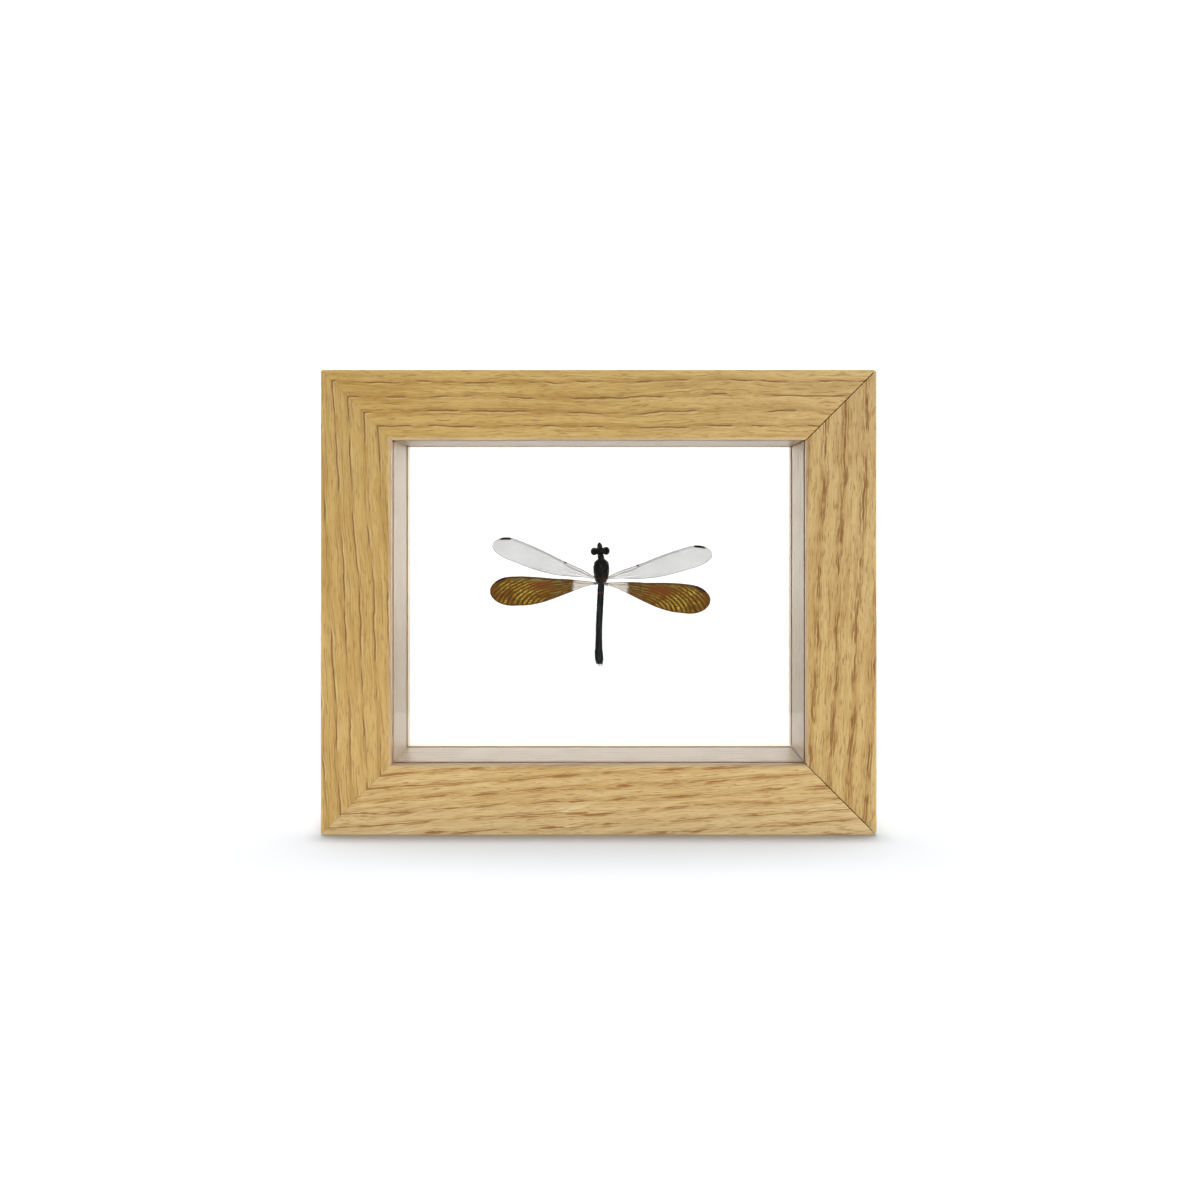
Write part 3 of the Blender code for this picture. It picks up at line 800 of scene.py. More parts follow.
def cuticleMaterial(name, colours, blotch, grain, roughness, paleFrom, paleTo, bump=0.00004, seed=0.0,
                    glintsAndRust=0.0):
    # Dark skin with paler blotches. Where asked, it also gets bluish painted glints, which stand in for
    # highlights, and rust about the wing roots.
    dark, pale = colours
    material, tree, inputs = newMaterial(name, Roughness=roughness, Specular_IOR_Level=insect["gloss"])
    place = onObject(tree)
    mottle = placeGroup(tree, mottleGroup, Place=place, Blotch=blotch, Grain=grain, Seed=seed)
    share = fade(tree, mottle["Blotches"], paleFrom, paleTo)
    colour = blendColours(tree, share, (*dark, 1.0), (*pale, 1.0))
    if glintsAndRust:
        fine = placeGroup(tree, mottleGroup, Place=place, Blotch=2800.0, Grain=grain, Seed=seed + 6.0)
        # Bluish painted highlights in small specks
        paintedGlints = times(tree, fade(tree, fine["Blotches"], 0.60, 0.72), glintsAndRust)
        colour = blendColours(tree, paintedGlints, colour, insect["paintedGlints"])
        _, _, up = partsOf(tree, place)
        low = fade(tree, up, (insect["up"] + 0.1) * mm, (insect["up"] + 1.1) * mm, 1.0, 0.0)
        rust = times(tree, fade(tree, fine["Blotches"], 0.36, 0.60, 1.0, 0.0), low, glintsAndRust)
        colour = blendColours(tree, rust, colour, insect["rootRust"])
    plug(tree, colour, inputs["Base Color"])
    plug(tree, fade(tree, mottle["Grains"], 0.0, 0.8, roughness - 0.1, roughness + 0.15), inputs["Roughness"])
    bumpInto(tree, inputs, mottle["Height"], bump, 0.8)
    return material


def abdomenMaterial():
    # Black with a blue-grey painted highlight along the middle of its back, and a rusty ring behind the
    # second segment
    material, tree, inputs = newMaterial("abdomenCuticle", Specular_IOR_Level=0.12)
    mottle = placeGroup(tree, mottleGroup, Place=onObject(tree), Blotch=1400.0, Grain=9000.0, Seed=0.4)
    along, turn, _ = partsOf(tree, stored(tree, "bodyPlace"))
    onBack = fade(tree, calc(tree, "ABSOLUTE", turn), 0.10, 0.70, 1.0, 0.0)
    centreHighlight = times(tree, onBack, fade(tree, mottle["Blotches"], 0.30, 0.70, 0.35, 1.0))
    colour = blendColours(tree, centreHighlight, *insect["centreHighlight"])
    ring = fade(tree, distance(tree, along, insect["ringAt"]), 0.05, 0.14, 1.0, 0.0)
    colour = blendColours(tree, times(tree, ring, 0.8), colour, insect["ring"])
    brown = fade(tree, mottle["Blotches"], 0.62, 0.78)
    colour = blendColours(tree, times(tree, brown, 0.5), colour, insect["brown"])
    plug(tree, colour, inputs["Base Color"])
    plug(tree, fade(tree, mottle["Grains"], 0.0, 0.8, 0.34, 0.58), inputs["Roughness"])
    bumpInto(tree, inputs, mottle["Height"], 0.00003, 0.7)
    return material


def eyeMaterial():
    # Facets in a close mesh, dark brown with paler blotches that are painted highlights
    material, tree, inputs = newMaterial("eyeCuticle", Roughness=0.5, Specular_IOR_Level=0.12)
    cells = tree.nodes.new("ShaderNodeTexVoronoi")
    plug(tree, onObject(tree), cells.inputs["Vector"])
    cells.inputs["Scale"].default_value = 17000.0
    mottle = placeGroup(tree, mottleGroup, Place=onObject(tree), Blotch=1100.0, Grain=9000.0, Seed=2.3)
    share = fade(tree, mottle["Blotches"], 0.48, 0.72)
    plug(tree, blendColours(tree, share, *insect["eye"]), inputs["Base Color"])
    bumpInto(tree, inputs, minus(tree, 1.0, cells.outputs["Distance"]), 0.00002, 0.6)
    return material


# Stations are (up, half width, half depth, to the right, back).
trunkShape = {
    "thorax": [
        (5.08, 0.34, 0.34, 0.02, -0.05), (4.82, 0.76, 0.74, 0.04, -0.05), (4.40, 1.28, 1.20, 0.06, -0.05),
        (3.85, 1.66, 1.52, 0.07, -0.02), (2.85, 1.85, 1.80, 0.08, 0.00), (1.80, 1.81, 1.86, 0.07, 0.02),
        (0.85, 1.67, 1.78, 0.05, 0.05), (0.15, 1.50, 1.62, 0.03, 0.10), (-0.42, 1.24, 1.38, 0.00, 0.12),
        (-0.82, 0.92, 1.04, -0.02, 0.15), (-1.10, 0.50, 0.60, -0.02, 0.15),
    ],
    "prothorax": [
        (6.25, 0.55, 0.46, -0.17, 0.05), (5.80, 0.62, 0.52, -0.14, 0.05), (5.55, 0.74, 0.62, -0.08, 0.00),
        (5.25, 0.80, 0.72, -0.03, 0.00), (4.95, 0.76, 0.74, 0.00, 0.00), (4.45, 0.56, 0.66, 0.02, 0.00),
    ],
    "snout": [
        (6.40, 0.72, 0.70, -0.18, 0.25), (7.00, 0.68, 0.66, -0.23, 0.23), (7.50, 0.63, 0.60, -0.27, 0.21),
        (7.92, 0.57, 0.52, -0.31, 0.18), (8.26, 0.45, 0.40, -0.34, 0.15), (8.50, 0.27, 0.26, -0.36, 0.14),
        (8.62, 0.10, 0.10, -0.37, 0.14),
    ],
}
headShape = {
    "core": ((-0.20, 6.60, 0.12), (1.50, 0.90, 0.84)),
    "face": ((-0.22, 6.85, 0.55), (0.80, 0.72, 0.70)),
    "eyeLeft": ((-1.58, 6.52, 0.12), (0.82, 0.90, 0.92)),
    "eyeRight": ((1.16, 6.66, 0.12), (0.86, 0.94, 0.92)),
    "plateLeft": ((-0.98, -0.70, -0.92), (0.84, 0.15, 0.26)),
    "plateRight": ((0.98, -0.76, -0.92), (0.84, 0.15, 0.26)),
}
abdomenShape = {
    "start": -0.45,
    # Each segment's length, and the radius at its middle
    "segments": [
        (0.90, 0.76), (1.65, 0.80), (3.05, 0.78), (2.90, 0.77), (2.75, 0.76),
        (2.50, 0.77), (2.00, 0.83), (1.40, 0.96), (1.10, 0.98), (0.70, 0.80),
    ],
    # How thick it is at each place along a segment
    "swell": [(0.0, 0.97), (0.04, 0.99), (0.14, 0.99), (0.50, 1.0), (0.86, 1.0), (0.95, 1.015), (0.985, 1.0)],
    "lean": [(-0.45, 0.06), (-4.8, -0.17), (-10.6, -0.46), (-16.4, -0.54), (-19.4, -0.36)],
    "droop": 0.35,
}


def ovalRings(stations, sides, rows=None, seed=None, rough=0.0):
    # An oval tube: (right + wide cos t, up, back + deep sin t), with its stations smoothed and lumps added
    stations = np.array(stations, float)
    if rows:
        _, stations = smoothLine(stations, rows)
    up, wide, deep, right, back = (column[:, None] for column in stations.T)
    turn = turnsOf(sides)[None, :]
    direction = np.stack([np.cos(turn) + 0 * up, 0 * up + 0 * turn, np.sin(turn) + 0 * up], axis=-1)
    rings = np.stack([right + wide * np.cos(turn), up + 0 * turn, back + deep * np.sin(turn)], axis=-1)
    if seed is not None:
        uneven = rough * lumps(rings, 0.30, seed) + 0.6 * rough * lumps(rings, 0.13, seed + 1)
        rings = rings + direction * uneven[..., None]
    return rings


def ballRings(centre, halves, sides, rows, seed=None, rough=0.0):
    # An oval ball from pole to pole: rings of radius sin p at height cos p
    polar = np.linspace(0, math.pi, rows + 2)[1:-1]
    up = centre[1] + halves[1] * np.cos(polar)
    wide, deep = halves[0] * np.sin(polar), halves[2] * np.sin(polar)
    stations = np.stack([up, wide, deep, np.full(rows, centre[0]), np.full(rows, centre[2])], axis=1)
    return ovalRings(stations, sides, seed=seed, rough=rough)


def organ(name, ringSets, material):
    # One piece of the insect from sets of rings
    shells = [turnOutwards(*closedRings(inFrame(rings))) for rings in ringSets]
    return finishPiece(meshPiece(name, *joinShells(shells)), material, ["damselfly"], 60)


def thoraxRings():
    # The oval thorax with a keel down its middle, a groove to each side, and raised roots for the wings
    sides = 72
    rings = ovalRings(trunkShape["thorax"], sides, 96, 5, 0.035)
    turn = turnsOf(sides)
    up = rings[..., 1]
    onTop = np.clip(-np.sin(turn), 0, 1)
    keel = np.exp(-((np.cos(turn) / 0.10) ** 2)) * onTop * 0.10
    groove = -np.exp(-(((np.abs(np.cos(turn)) - 0.42) / 0.09) ** 2)) * onTop * 0.07
    roots = np.exp(-(((np.abs(np.cos(turn)) - 0.80) / 0.16) ** 2)) * onTop
    roots = roots * np.exp(-(((up - 0.45) / 0.55) ** 2)) * 0.16
    saddle = -np.exp(-(((up - 0.75) / 0.35) ** 2)) * np.exp(-((np.cos(turn) / 0.40) ** 2)) * onTop * 0.16
    fadeEnds = ease(5.1, 4.6, up) * ease(-1.1, -0.6, up)
    swell = (keel + groove) * fadeEnds + roots + saddle
    outward = np.stack([np.cos(turn), 0 * turn, np.sin(turn)], axis=-1)
    return rings + outward * swell[..., None]


def abdomenRings():
    # Segments that narrow a little at each joint, and their places for the material
    up, stations, offsets = abdomenShape["start"], [], []
    total = sum(length for length, _ in abdomenShape["segments"])
    lean = np.array(abdomenShape["lean"])[::-1]
    for length, radius in abdomenShape["segments"]:
        for share, size in abdomenShape["swell"]:
            here = up - share * length
            girth = radius * size
            back = 0.15 + abdomenShape["droop"] * (abdomenShape["start"] - here) / total
            stations.append((here, girth, girth * 0.96, np.interp(here, lean[:, 0], lean[:, 1]), back))
            offsets.append(abdomenShape["start"] - here)
        up -= length
    for share, size in ((0.3, 0.80), (0.6, 0.52), (0.8, 0.22)):
        last = stations[-1]
        stations.append((last[0] - 0.06 * share, last[1] * size, last[2] * size, last[3], last[4]))
        offsets.append(offsets[-1] + 0.05)
    sides = 40
    rings = ovalRings(stations, sides, None, 9, 0.018)
    turn = turnsOf(sides)
    place = np.stack(np.broadcast_arrays(np.array(offsets)[:, None], np.cos(turn)[None, :]), axis=-1)
    # The underside keeps off the painted highlight: its turn is held at 1.
    place[..., 1] = np.where(np.sin(turn) > 0.2, 1.0, place[..., 1])
    return rings, place


# Each leg's joints from hip to foot as (right, up, back), for the right side
legPaths = {
    "fore": [
        (0.30, 4.30, 1.00), (0.40, 5.50, 1.45), (0.40, 5.80, 1.80), (0.36, 5.60, 2.15), (0.26, 3.30, 2.50),
    ],
    "mid": [
        (0.60, 3.50, 1.10), (1.20, 2.95, 1.65), (1.36, 3.00, 1.95), (1.20, 3.35, 2.20), (0.66, 4.70, 2.35),
    ],
    "hind": [
        (0.64, 2.42, 1.12), (1.22, 1.95, 1.85), (1.42, 1.45, 2.05), (1.42, 0.80, 2.20), (1.08, -0.40, 2.30),
    ],
}
legRadii = (0.24, 0.18, 0.15, 0.13, 0.07)
bristle = {"radii": (0.022, 0.016, 0.005), "sides": 5, "out": 0.16, "up": -0.06, "back": 0.10}


def legRings(path, side):
    # The joints joined by a smooth curve in 28 steps, thicker at each joint
    fine, line = smoothLine(np.array(path) * (side, 1, 1), 28)
    radii = np.interp(fine, np.arange(len(path)), legRadii) * (0.82 + 0.18 * np.cos(fine * 2 * math.pi))
    return tubeRings(line, radii, 12)


def legSpines():
    # Pairs of fine bristles down each shin
    sets = []
    for name, path in legPaths.items():
        start, end = np.array(path[3]), np.array(path[4])
        out = bristle["out"] if name != "hind" else -bristle["out"]
        for side in (-1, 1):
            for share in np.linspace(0.1, 0.85, 6):
                foot = start + (end - start) * share
                tip = foot + np.array((out, bristle["up"], bristle["back"]))
                line = np.stack([foot, (foot + tip) / 2, tip]) * (side, 1, 1)
                sets.append(tubeRings(line, bristle["radii"], bristle["sides"]))
    return sets


def rootKnobs():
    # Small hard knobs strewn about each wing root
    rng = np.random.default_rng(61)
    sets = []
    for _, root, _, side in wingPlace.values():
        for _ in range(9):
            right, up = side * rng.uniform(0.85, 1.62), root[1] + rng.uniform(-0.35, 0.42)
            spot = (right, up, rng.uniform(-1.42, -1.05))
            size = rng.uniform(0.07, 0.17, 3)
            sets.append(ballRings(spot, tuple(size), 10, 6))
    return sets


def claspers():
    # The tip's two hooks: the left short and straight, the right bowed, then two small ones beneath
    up = abdomenShape["start"] - sum(length for length, _ in abdomenShape["segments"])
    right, back = abdomenShape["lean"][-1][1], 0.15 + abdomenShape["droop"]
    paths = [
        [(-0.22, 0.35, 0), (-0.16, -0.05, 0), (-0.10, -0.45, 0), (-0.06, -0.70, 0)],
        [(0.30, 0.35, 0), (0.52, 0.05, 0), (0.58, -0.40, 0), (0.34, -0.80, 0)],
        [(-0.10, 0.30, 0.3), (-0.10, -0.05, 0.32), (-0.08, -0.28, 0.3), (-0.05, -0.42, 0.28)],
        [(0.16, 0.30, 0.3), (0.18, -0.05, 0.32), (0.15, -0.28, 0.3), (0.10, -0.42, 0.28)],
    ]
    sets = []
    for path, size in zip(paths, (1.0, 1.0, 0.7, 0.7)):
        fine, line = smoothLine(np.array(path, float), 12)
        radii = np.interp(fine, np.arange(4), (0.13, 0.11, 0.085, 0.045)) * size
        sets.append(tubeRings(line + (right, up, back), radii, 10))
    return sets


def buildBody():
    chitin = cuticleMaterial("thoraxCuticle", insect["chitin"], 1500.0, 5200.0, insect["chitinRough"],
                             0.56, 0.72, bump=0.00010, glintsAndRust=0.7)
    rust = cuticleMaterial("rootCuticle", insect["rust"], 2600.0, 6000.0, 0.5, 0.44, 0.66, seed=1.7)
    horn = cuticleMaterial("clasperHorn", insect["horn"], 1800.0, 9000.0, 0.4, 0.35, 0.65, seed=3.1)
    organ("thorax", [thoraxRings()], chitin)
    organ("head", [
        ballRings(*headShape["core"], 48, 28, 21, 0.02),
        ballRings(*headShape["face"], 40, 24, 23, 0.02),
        ovalRings(trunkShape["snout"], 36, 40, 25, 0.02),
        ovalRings(trunkShape["prothorax"], 44, 44, 27, 0.035),
    ], chitin)
    organ("eyes", [ballRings(*headShape[eye], 48, 32) for eye in ("eyeLeft", "eyeRight")], eyeMaterial())
    organ("wing_roots", [
        ballRings(*headShape["plateLeft"], 24, 14, 31, 0.03),
        ballRings(*headShape["plateRight"], 24, 14, 33, 0.03),
        *rootKnobs(),
    ], rust)
    rings, place = abdomenRings()
    abdomen = organ("abdomen", [rings], abdomenMaterial())
    ends = np.array([[0.0, 1.0], [place[-1, 0, 0], 1.0]])
    storeOnPoints(abdomen, "bodyPlace", np.concatenate([place.reshape(-1, 2), ends]))
    legs = [legRings(path, side) for path in legPaths.values() for side in (-1, 1)]
    organ("legs", legs + legSpines(), chitin)
    organ("claspers", claspers(), horn)
    print("body done")


# The wings. Each has an axis from its root, x millimetres along it and y across it towards the front.

# Each edge is (along, across from the axis) pairs. Past fanX the veins are quarter ovals of that size.
wingShape = {
    "fore": {
        "length": 24.45,
        "lead": [
            (0.0, 0.30), (2.5, 0.86), (6.0, 1.27), (9.0, 1.64), (12.0, 2.12), (16.0, 2.58), (19.8, 2.86),
        ],
        "trail": [
            (0.0, 0.22), (2.5, 0.58), (5.5, 1.38), (8.0, 1.92), (11.0, 2.30), (15.0, 2.38), (19.2, 2.14),
        ],
        "fanX": 8.5, "fanY": -3.1, "fanLong": 14.0, "fanWide": 5.4,
        "stigma": (20.8, 23.3),
    },
    "hind": {
        "length": 23.85,
        "lead": [
            (0.0, 0.28), (2.5, 0.78), (5.5, 1.34), (9.0, 1.77), (13.0, 2.45), (16.5, 2.90), (18.9, 3.04),
        ],
        "trail": [
            (0.0, 0.26), (2.5, 0.68), (5.5, 1.56), (8.5, 2.47), (12.0, 3.38), (15.5, 3.80), (18.3, 3.68),
        ],
        "fanX": 8.5, "fanY": -4.2, "fanLong": 13.0, "fanWide": 6.6,
        "stigma": (20.0, 22.6),
    },
}
wingPlace = {
    # The root (right, up), the tilt up from level in degrees, and the side
    "fore_left": ("fore", (-1.60, 0.42), 18.3, -1),
    "fore_right": ("fore", (1.62, 0.36), 13.3, 1),
    "hind_left": ("hind", (-1.62, -0.80), -4.4, -1),
    "hind_right": ("hind", (1.50, -0.92), -9.6, 1),
}
wingBuild = {
    "back": -1.05,
    "tipRise": 0.7,
    "membrane": 0.024,
    "pleat": 0.020,
    "veinStep": 0.052,
    "nodus": 0.30,
    "rows": 190,
    "strips": 64,
    "costa": 0.085,
    "radius": 0.070,
    "margin": 0.055,
    "mainVein": 0.030,
    "fineVein": 0.016,
    "crossVein": 0.014,
    "edge": 160,
    "stigma": 0.30,
    # The last vein's level, and where closer cross veins begin
    "highest": 1.45,
    "outer": 1.12,
    "seed": 41,
}
noFans = np.zeros((0, 3), int)


def wingEdges(shape, x):
    # The leading and trailing edges: smooth curves, each closed at the tip by a quarter oval
    edges = []
    for side in ("lead", "trail"):
        last = shape[side][-1][0]
        body = smoothCurve(shape[side], np.clip(x, 0, last))
        intoTip = np.clip((x - last) / (shape["length"] - last), 0, 1)
        edges.append(body * np.sqrt(1 - intoTip**2))
    return edges


def fanLevel(shape, x, y):
    # Which vein line a point is on. Out past fanX the lines are quarter ovals about a point behind the wing:
    # level = sqrt((dx / long)^2 + (dy / wide)^2). Before it they keep their share of the wing's width.
    lead, trail = wingEdges(shape, x)
    leadAt, trailAt = wingEdges(shape, np.array([shape["fanX"]]))
    share = (lead - y) / np.maximum(lead + trail, 1e-6)
    inner = (leadAt - share * (leadAt + trailAt) - shape["fanY"]) / shape["fanWide"]
    dx = np.maximum(x - shape["fanX"], 0) / shape["fanLong"]
    dy = (y - shape["fanY"]) / shape["fanWide"]
    level = np.where(x < shape["fanX"], inner, np.hypot(dx, dy))
    along = np.where(x < shape["fanX"], x / shape["fanX"], 1 + np.arctan2(dx, dy) * 2 / math.pi)
    return level, along, share


def onWing(name, x, y, lift=0.0):
    # The wing's surface as (right, up, back): a flat plate that curls forwards to the tip, with pleats along
    # its veins
    kind, root, tilt, side = wingPlace[name]
    shape = wingShape[kind]
    level, _, share = fanLevel(shape, x, y)
    calm = ease(0.0, 0.10, share) * ease(1.0, 0.92, share)
    calm = calm * ease(2.5, 6.0, x) * ease(shape["length"], 20.0, x)
    pleat = wingBuild["pleat"] * np.cos(math.pi * level / wingBuild["veinStep"]) * calm
    lean = math.radians(tilt)
    right = side * (x * math.cos(lean) - y * math.sin(lean)) + root[0]
    up = x * math.sin(lean) + y * math.cos(lean) + root[1]
    back = wingBuild["back"] - wingBuild["tipRise"] * (x / shape["length"]) ** 2 + pleat + lift
    return np.stack([right, up, back], axis=-1)


def wingSheet(name):
    # The membrane: two grids over the outline, half its thickness apart each way, and a rim round them
    kind = wingPlace[name][0]
    shape = wingShape[kind]
    rows, strips = wingBuild["rows"], wingBuild["strips"] + 1
    t = np.linspace(0, 1, rows)
    x = np.repeat((shape["length"] * (1 - (1 - t) ** 1.5) * 0.9995)[:, None], strips, axis=1)
    lead, trail = wingEdges(shape, x)
    y = lead - (lead + trail) * np.linspace(0, 1, strips)[None, :]
    level, along, share = fanLevel(shape, x, y)
    x[0] = -0.9
    half = wingBuild["membrane"] / 2
    front, rear = (onWing(name, x, y, lift).reshape(-1, 3) for lift in (-half, half))
    i, j = np.meshgrid(np.arange(rows - 1), np.arange(strips - 1), indexing="ij")
    first = i * strips + j
    quad = np.stack([first, first + 1, first + strips + 1, first + strips], axis=-1).reshape(-1, 4)
    count = rows * strips
    edge = np.concatenate([
        np.arange(rows) * strips,
        (rows - 1) * strips + np.arange(1, strips),
        np.arange(rows - 2, -1, -1) * strips + strips - 1,
        np.arange(strips - 2, 0, -1),
    ])
    beyond = np.roll(edge, -1)
    rim = np.stack([beyond, edge, edge + count, beyond + count], axis=-1)
    quads = np.concatenate([quad[:, ::-1], quad + count, rim[:, ::-1]])
    skin = turnOutwards(inFrame(np.concatenate([front, rear])), quads, noFans)
    piece = meshPiece(f"membrane_{name}", *skin)
    spot = np.stack([x / shape["length"], share, y], axis=-1).reshape(-1, 3)
    spot[: strips, 0] = 0
    vein = np.stack([along, level / wingBuild["veinStep"]], axis=-1).reshape(-1, 2)
    storeOnPoints(piece, "wingSpot", np.concatenate([spot, spot]))
    storeOnPoints(piece, "veinSpot", np.concatenate([vein, vein]))
    return piece


def strandTubes(name, x, y, radii):
    # Four-sided tubes along many lines at once. x, y and radii have shape (lines, steps), and a tube's
    # corners are its line plus radius times across, away, across and away again.
    line = onWing(name, x, y)
    along = np.gradient(line, axis=1)
    along /= np.maximum(np.linalg.norm(along, axis=-1, keepdims=True), 1e-9)
    away = np.array((0.0, 0.0, 1.0))
    across = np.cross(along, away)
    across /= np.maximum(np.linalg.norm(across, axis=-1, keepdims=True), 1e-9)
    away = np.broadcast_to(away, across.shape)
    corners = np.stack([across, away, -across, -away], axis=2)
    rings = line[:, :, None, :] + radii[:, :, None, None] * corners
    lines, steps = x.shape
    row, step, side = np.meshgrid(np.arange(lines), np.arange(steps - 1), np.arange(4), indexing="ij")
    first = ((row * steps + step) * 4)[..., None]
    turned = (side + 1) % 4
    quads = (first + np.stack([side, turned, 4 + turned, 4 + side], axis=-1)).reshape(-1, 4)
    start = np.arange(lines)[:, None] * steps * 4
    caps = np.concatenate([start + [3, 2, 1, 0], start + (steps - 1) * 4 + [0, 1, 2, 3]])
    return rings.reshape(-1, 3), np.concatenate([quads, caps]), noFans


def shareAtLevel(shape, level):
    # A level's share of the wing's width before fanX
    lead, trail = (edge[0] for edge in wingEdges(shape, np.array([shape["fanX"]])))
    return (lead - level * shape["fanWide"] - shape["fanY"]) / (lead + trail)


def onLevel(shape, level, along):
    # A point on a level. Along is 0 at the root and 1 at fanX, and counts quarter turns past it.
    if along < 1:
        x = along * shape["fanX"]
        lead, trail = (edge[0] for edge in wingEdges(shape, np.array([x])))
        return x, lead - shareAtLevel(shape, level) * (lead + trail)
    turn = (along - 1) * math.pi / 2
    return (shape["fanX"] + shape["fanLong"] * level * math.sin(turn),
            shape["fanY"] + shape["fanWide"] * level * math.cos(turn))


def veinLine(shape, level, startX, parent, steps):
    # One vein on a level, from startX or where it enters the wing, to the margin. It leaves its parent
    # smoothly.
    straightX = np.linspace(0.0, shape["fanX"], 80)
    leadX, trailX = wingEdges(shape, straightX)
    mixed = parent + (level - parent) * ease(startX, startX + 2.2, straightX)
    straightY = leadX - shareAtLevel(shape, mixed) * (leadX + trailX)
    turn = np.linspace(0.0, math.pi / 2, 240)[1:]
    arcX = shape["fanX"] + shape["fanLong"] * level * np.sin(turn)
    arcY = shape["fanY"] + shape["fanWide"] * level * np.cos(turn)
    x, y = np.concatenate([straightX, arcX]), np.concatenate([straightY, arcY])
    edgeLead, edgeTrail = wingEdges(shape, x)
    inside = (x >= startX) & (x < shape["length"] - 0.03) & (y < edgeLead - 0.20) & (y > -edgeTrail)
    if inside.sum() < 12:
        return None
    first = int(np.argmax(inside))
    last = first + int(np.argmin(np.append(inside[first:], False)))
    x, y = x[first:last], y[first:last]
    gone = np.concatenate([[0], np.cumsum(np.hypot(np.diff(x), np.diff(y)))])
    if gone[-1] < 0.8:
        return None
    fine = np.linspace(0, gone[-1], steps)
    return np.interp(fine, gone, x), np.interp(fine, gone, y)


def radiusPlace(shape, x):
    # The front edge, and how far behind it the next stout vein runs
    lead, trail = wingEdges(shape, x)
    gap = 0.34 + 0.24 * ease(0.0, 2.5, x) * ease(0.36, 0.27, x / shape["length"])
    return lead, np.minimum(gap, 0.55 * (lead + trail))


def wingVeins(name):
    # Main veins, fine ones between them in the outer wing, the stout front edge, the margin, and the
    # cross veins
    shape = wingShape[wingPlace[name][0]]
    build = wingBuild
    step, length = build["veinStep"], shape["length"]
    rng = np.random.default_rng(build["seed"] + list(wingPlace).index(name))

    def strands(lines, radiusStart, radiusEnd):
        x, y = (np.stack(places) for places in zip(*(line for line in lines if line)))
        radii = np.linspace(radiusStart, radiusEnd, x.shape[1])
        return strandTubes(name, x, y, np.broadcast_to(radii, x.shape))

    def piece(label, groups):
        # Several sets of tubes as one piece
        points, quads, fans = joinShells(groups)
        return meshPiece(f"{label}_{name}", *turnOutwards(inFrame(points), quads, fans))

    mains, finer = [], []
    for k in np.arange(2, int(build["highest"] / step)):
        # Every fourth vein starts at the root, and the others branch from it further out.
        startX = 0.6 if k % 4 == 0 else 2.4 + 0.85 * (k * 7 % 5)
        mains.append(veinLine(shape, k * step, startX, (k - k % 4) * step, 56))
        middle = (k + 0.5) * step
        finer.append(veinLine(shape, middle, shape["fanX"] + 1.5 + 1.2 * (k % 3), middle, 40))
    net = [
        strands(mains, build["mainVein"], build["mainVein"] * 0.6),
        strands(finer, build["fineVein"] * 0.7, build["fineVein"]),
    ]

    # The front edge, the rear margin, and the radius just behind the front edge, past the nodus to the stigma
    x = length * (1 - (1 - np.linspace(0, 1, build["edge"])) ** 1.5) * 0.9995
    lead, trail = wingEdges(shape, x)
    costa = build["costa"] * (1 - 0.45 * ease(0.0, 0.9, x / length))
    stem = np.linspace(0.1, shape["stigma"][1] + 0.4, 120)
    stemLead, gap = radiusPlace(shape, stem)
    stemRadii = build["radius"] * (1 - 0.5 * stem / length)
    edges = [
        strandTubes(name, x[None], (lead - 0.03)[None], costa[None]),
        strandTubes(name, x[None], (0.03 - trail)[None], np.full((1, build["edge"]), build["margin"])),
        strandTubes(name, stem[None], (stemLead - gap)[None], stemRadii[None]),
    ]

    # Cross veins: rungs between neighbouring lines, closer in the outer wing
    rungs = []
    for k in np.arange(4, 2 * int(build["highest"] / step)) / 2:
        reach = np.arange(0.35, 2.0, 0.034)
        for along in reach + rng.uniform(-0.009, 0.009, len(reach)):
            isOuter = along >= build["outer"]
            if k == int(k) or isOuter:
                top = (k + 0.5) * step if isOuter else (k + 1) * step
                rungs.append([onLevel(shape, level, along) for level in (k * step, top)])
    crossX, crossY = np.moveaxis(np.array(rungs), -1, 0)
    edgeLead, edgeTrail = wingEdges(shape, crossX)
    inside = (crossX < length - 0.1) & (crossY < edgeLead - 0.15) & (crossY > -edgeTrail - 0.02)
    keep = inside.all(axis=1)
    crossX, crossY = crossX[keep], crossY[keep]
    net.append(strandTubes(name, crossX, crossY, np.full(crossX.shape, build["crossVein"])))
    # Rungs between the front edge and the radius
    rungX = np.concatenate([
        np.arange(1.6, build["nodus"] * length, 0.52),
        np.arange(7.6, shape["stigma"][0], 0.46),
    ])
    rungLead, rungGap = radiusPlace(shape, rungX)
    edges.append(strandTubes(name, np.stack([rungX, rungX + 0.03], axis=1),
                             np.stack([rungLead - 0.03, rungLead - rungGap], axis=1),
                             np.full((len(rungX), 2), build["crossVein"] * 1.3)))
    return piece("veins", net), piece("edges", edges)


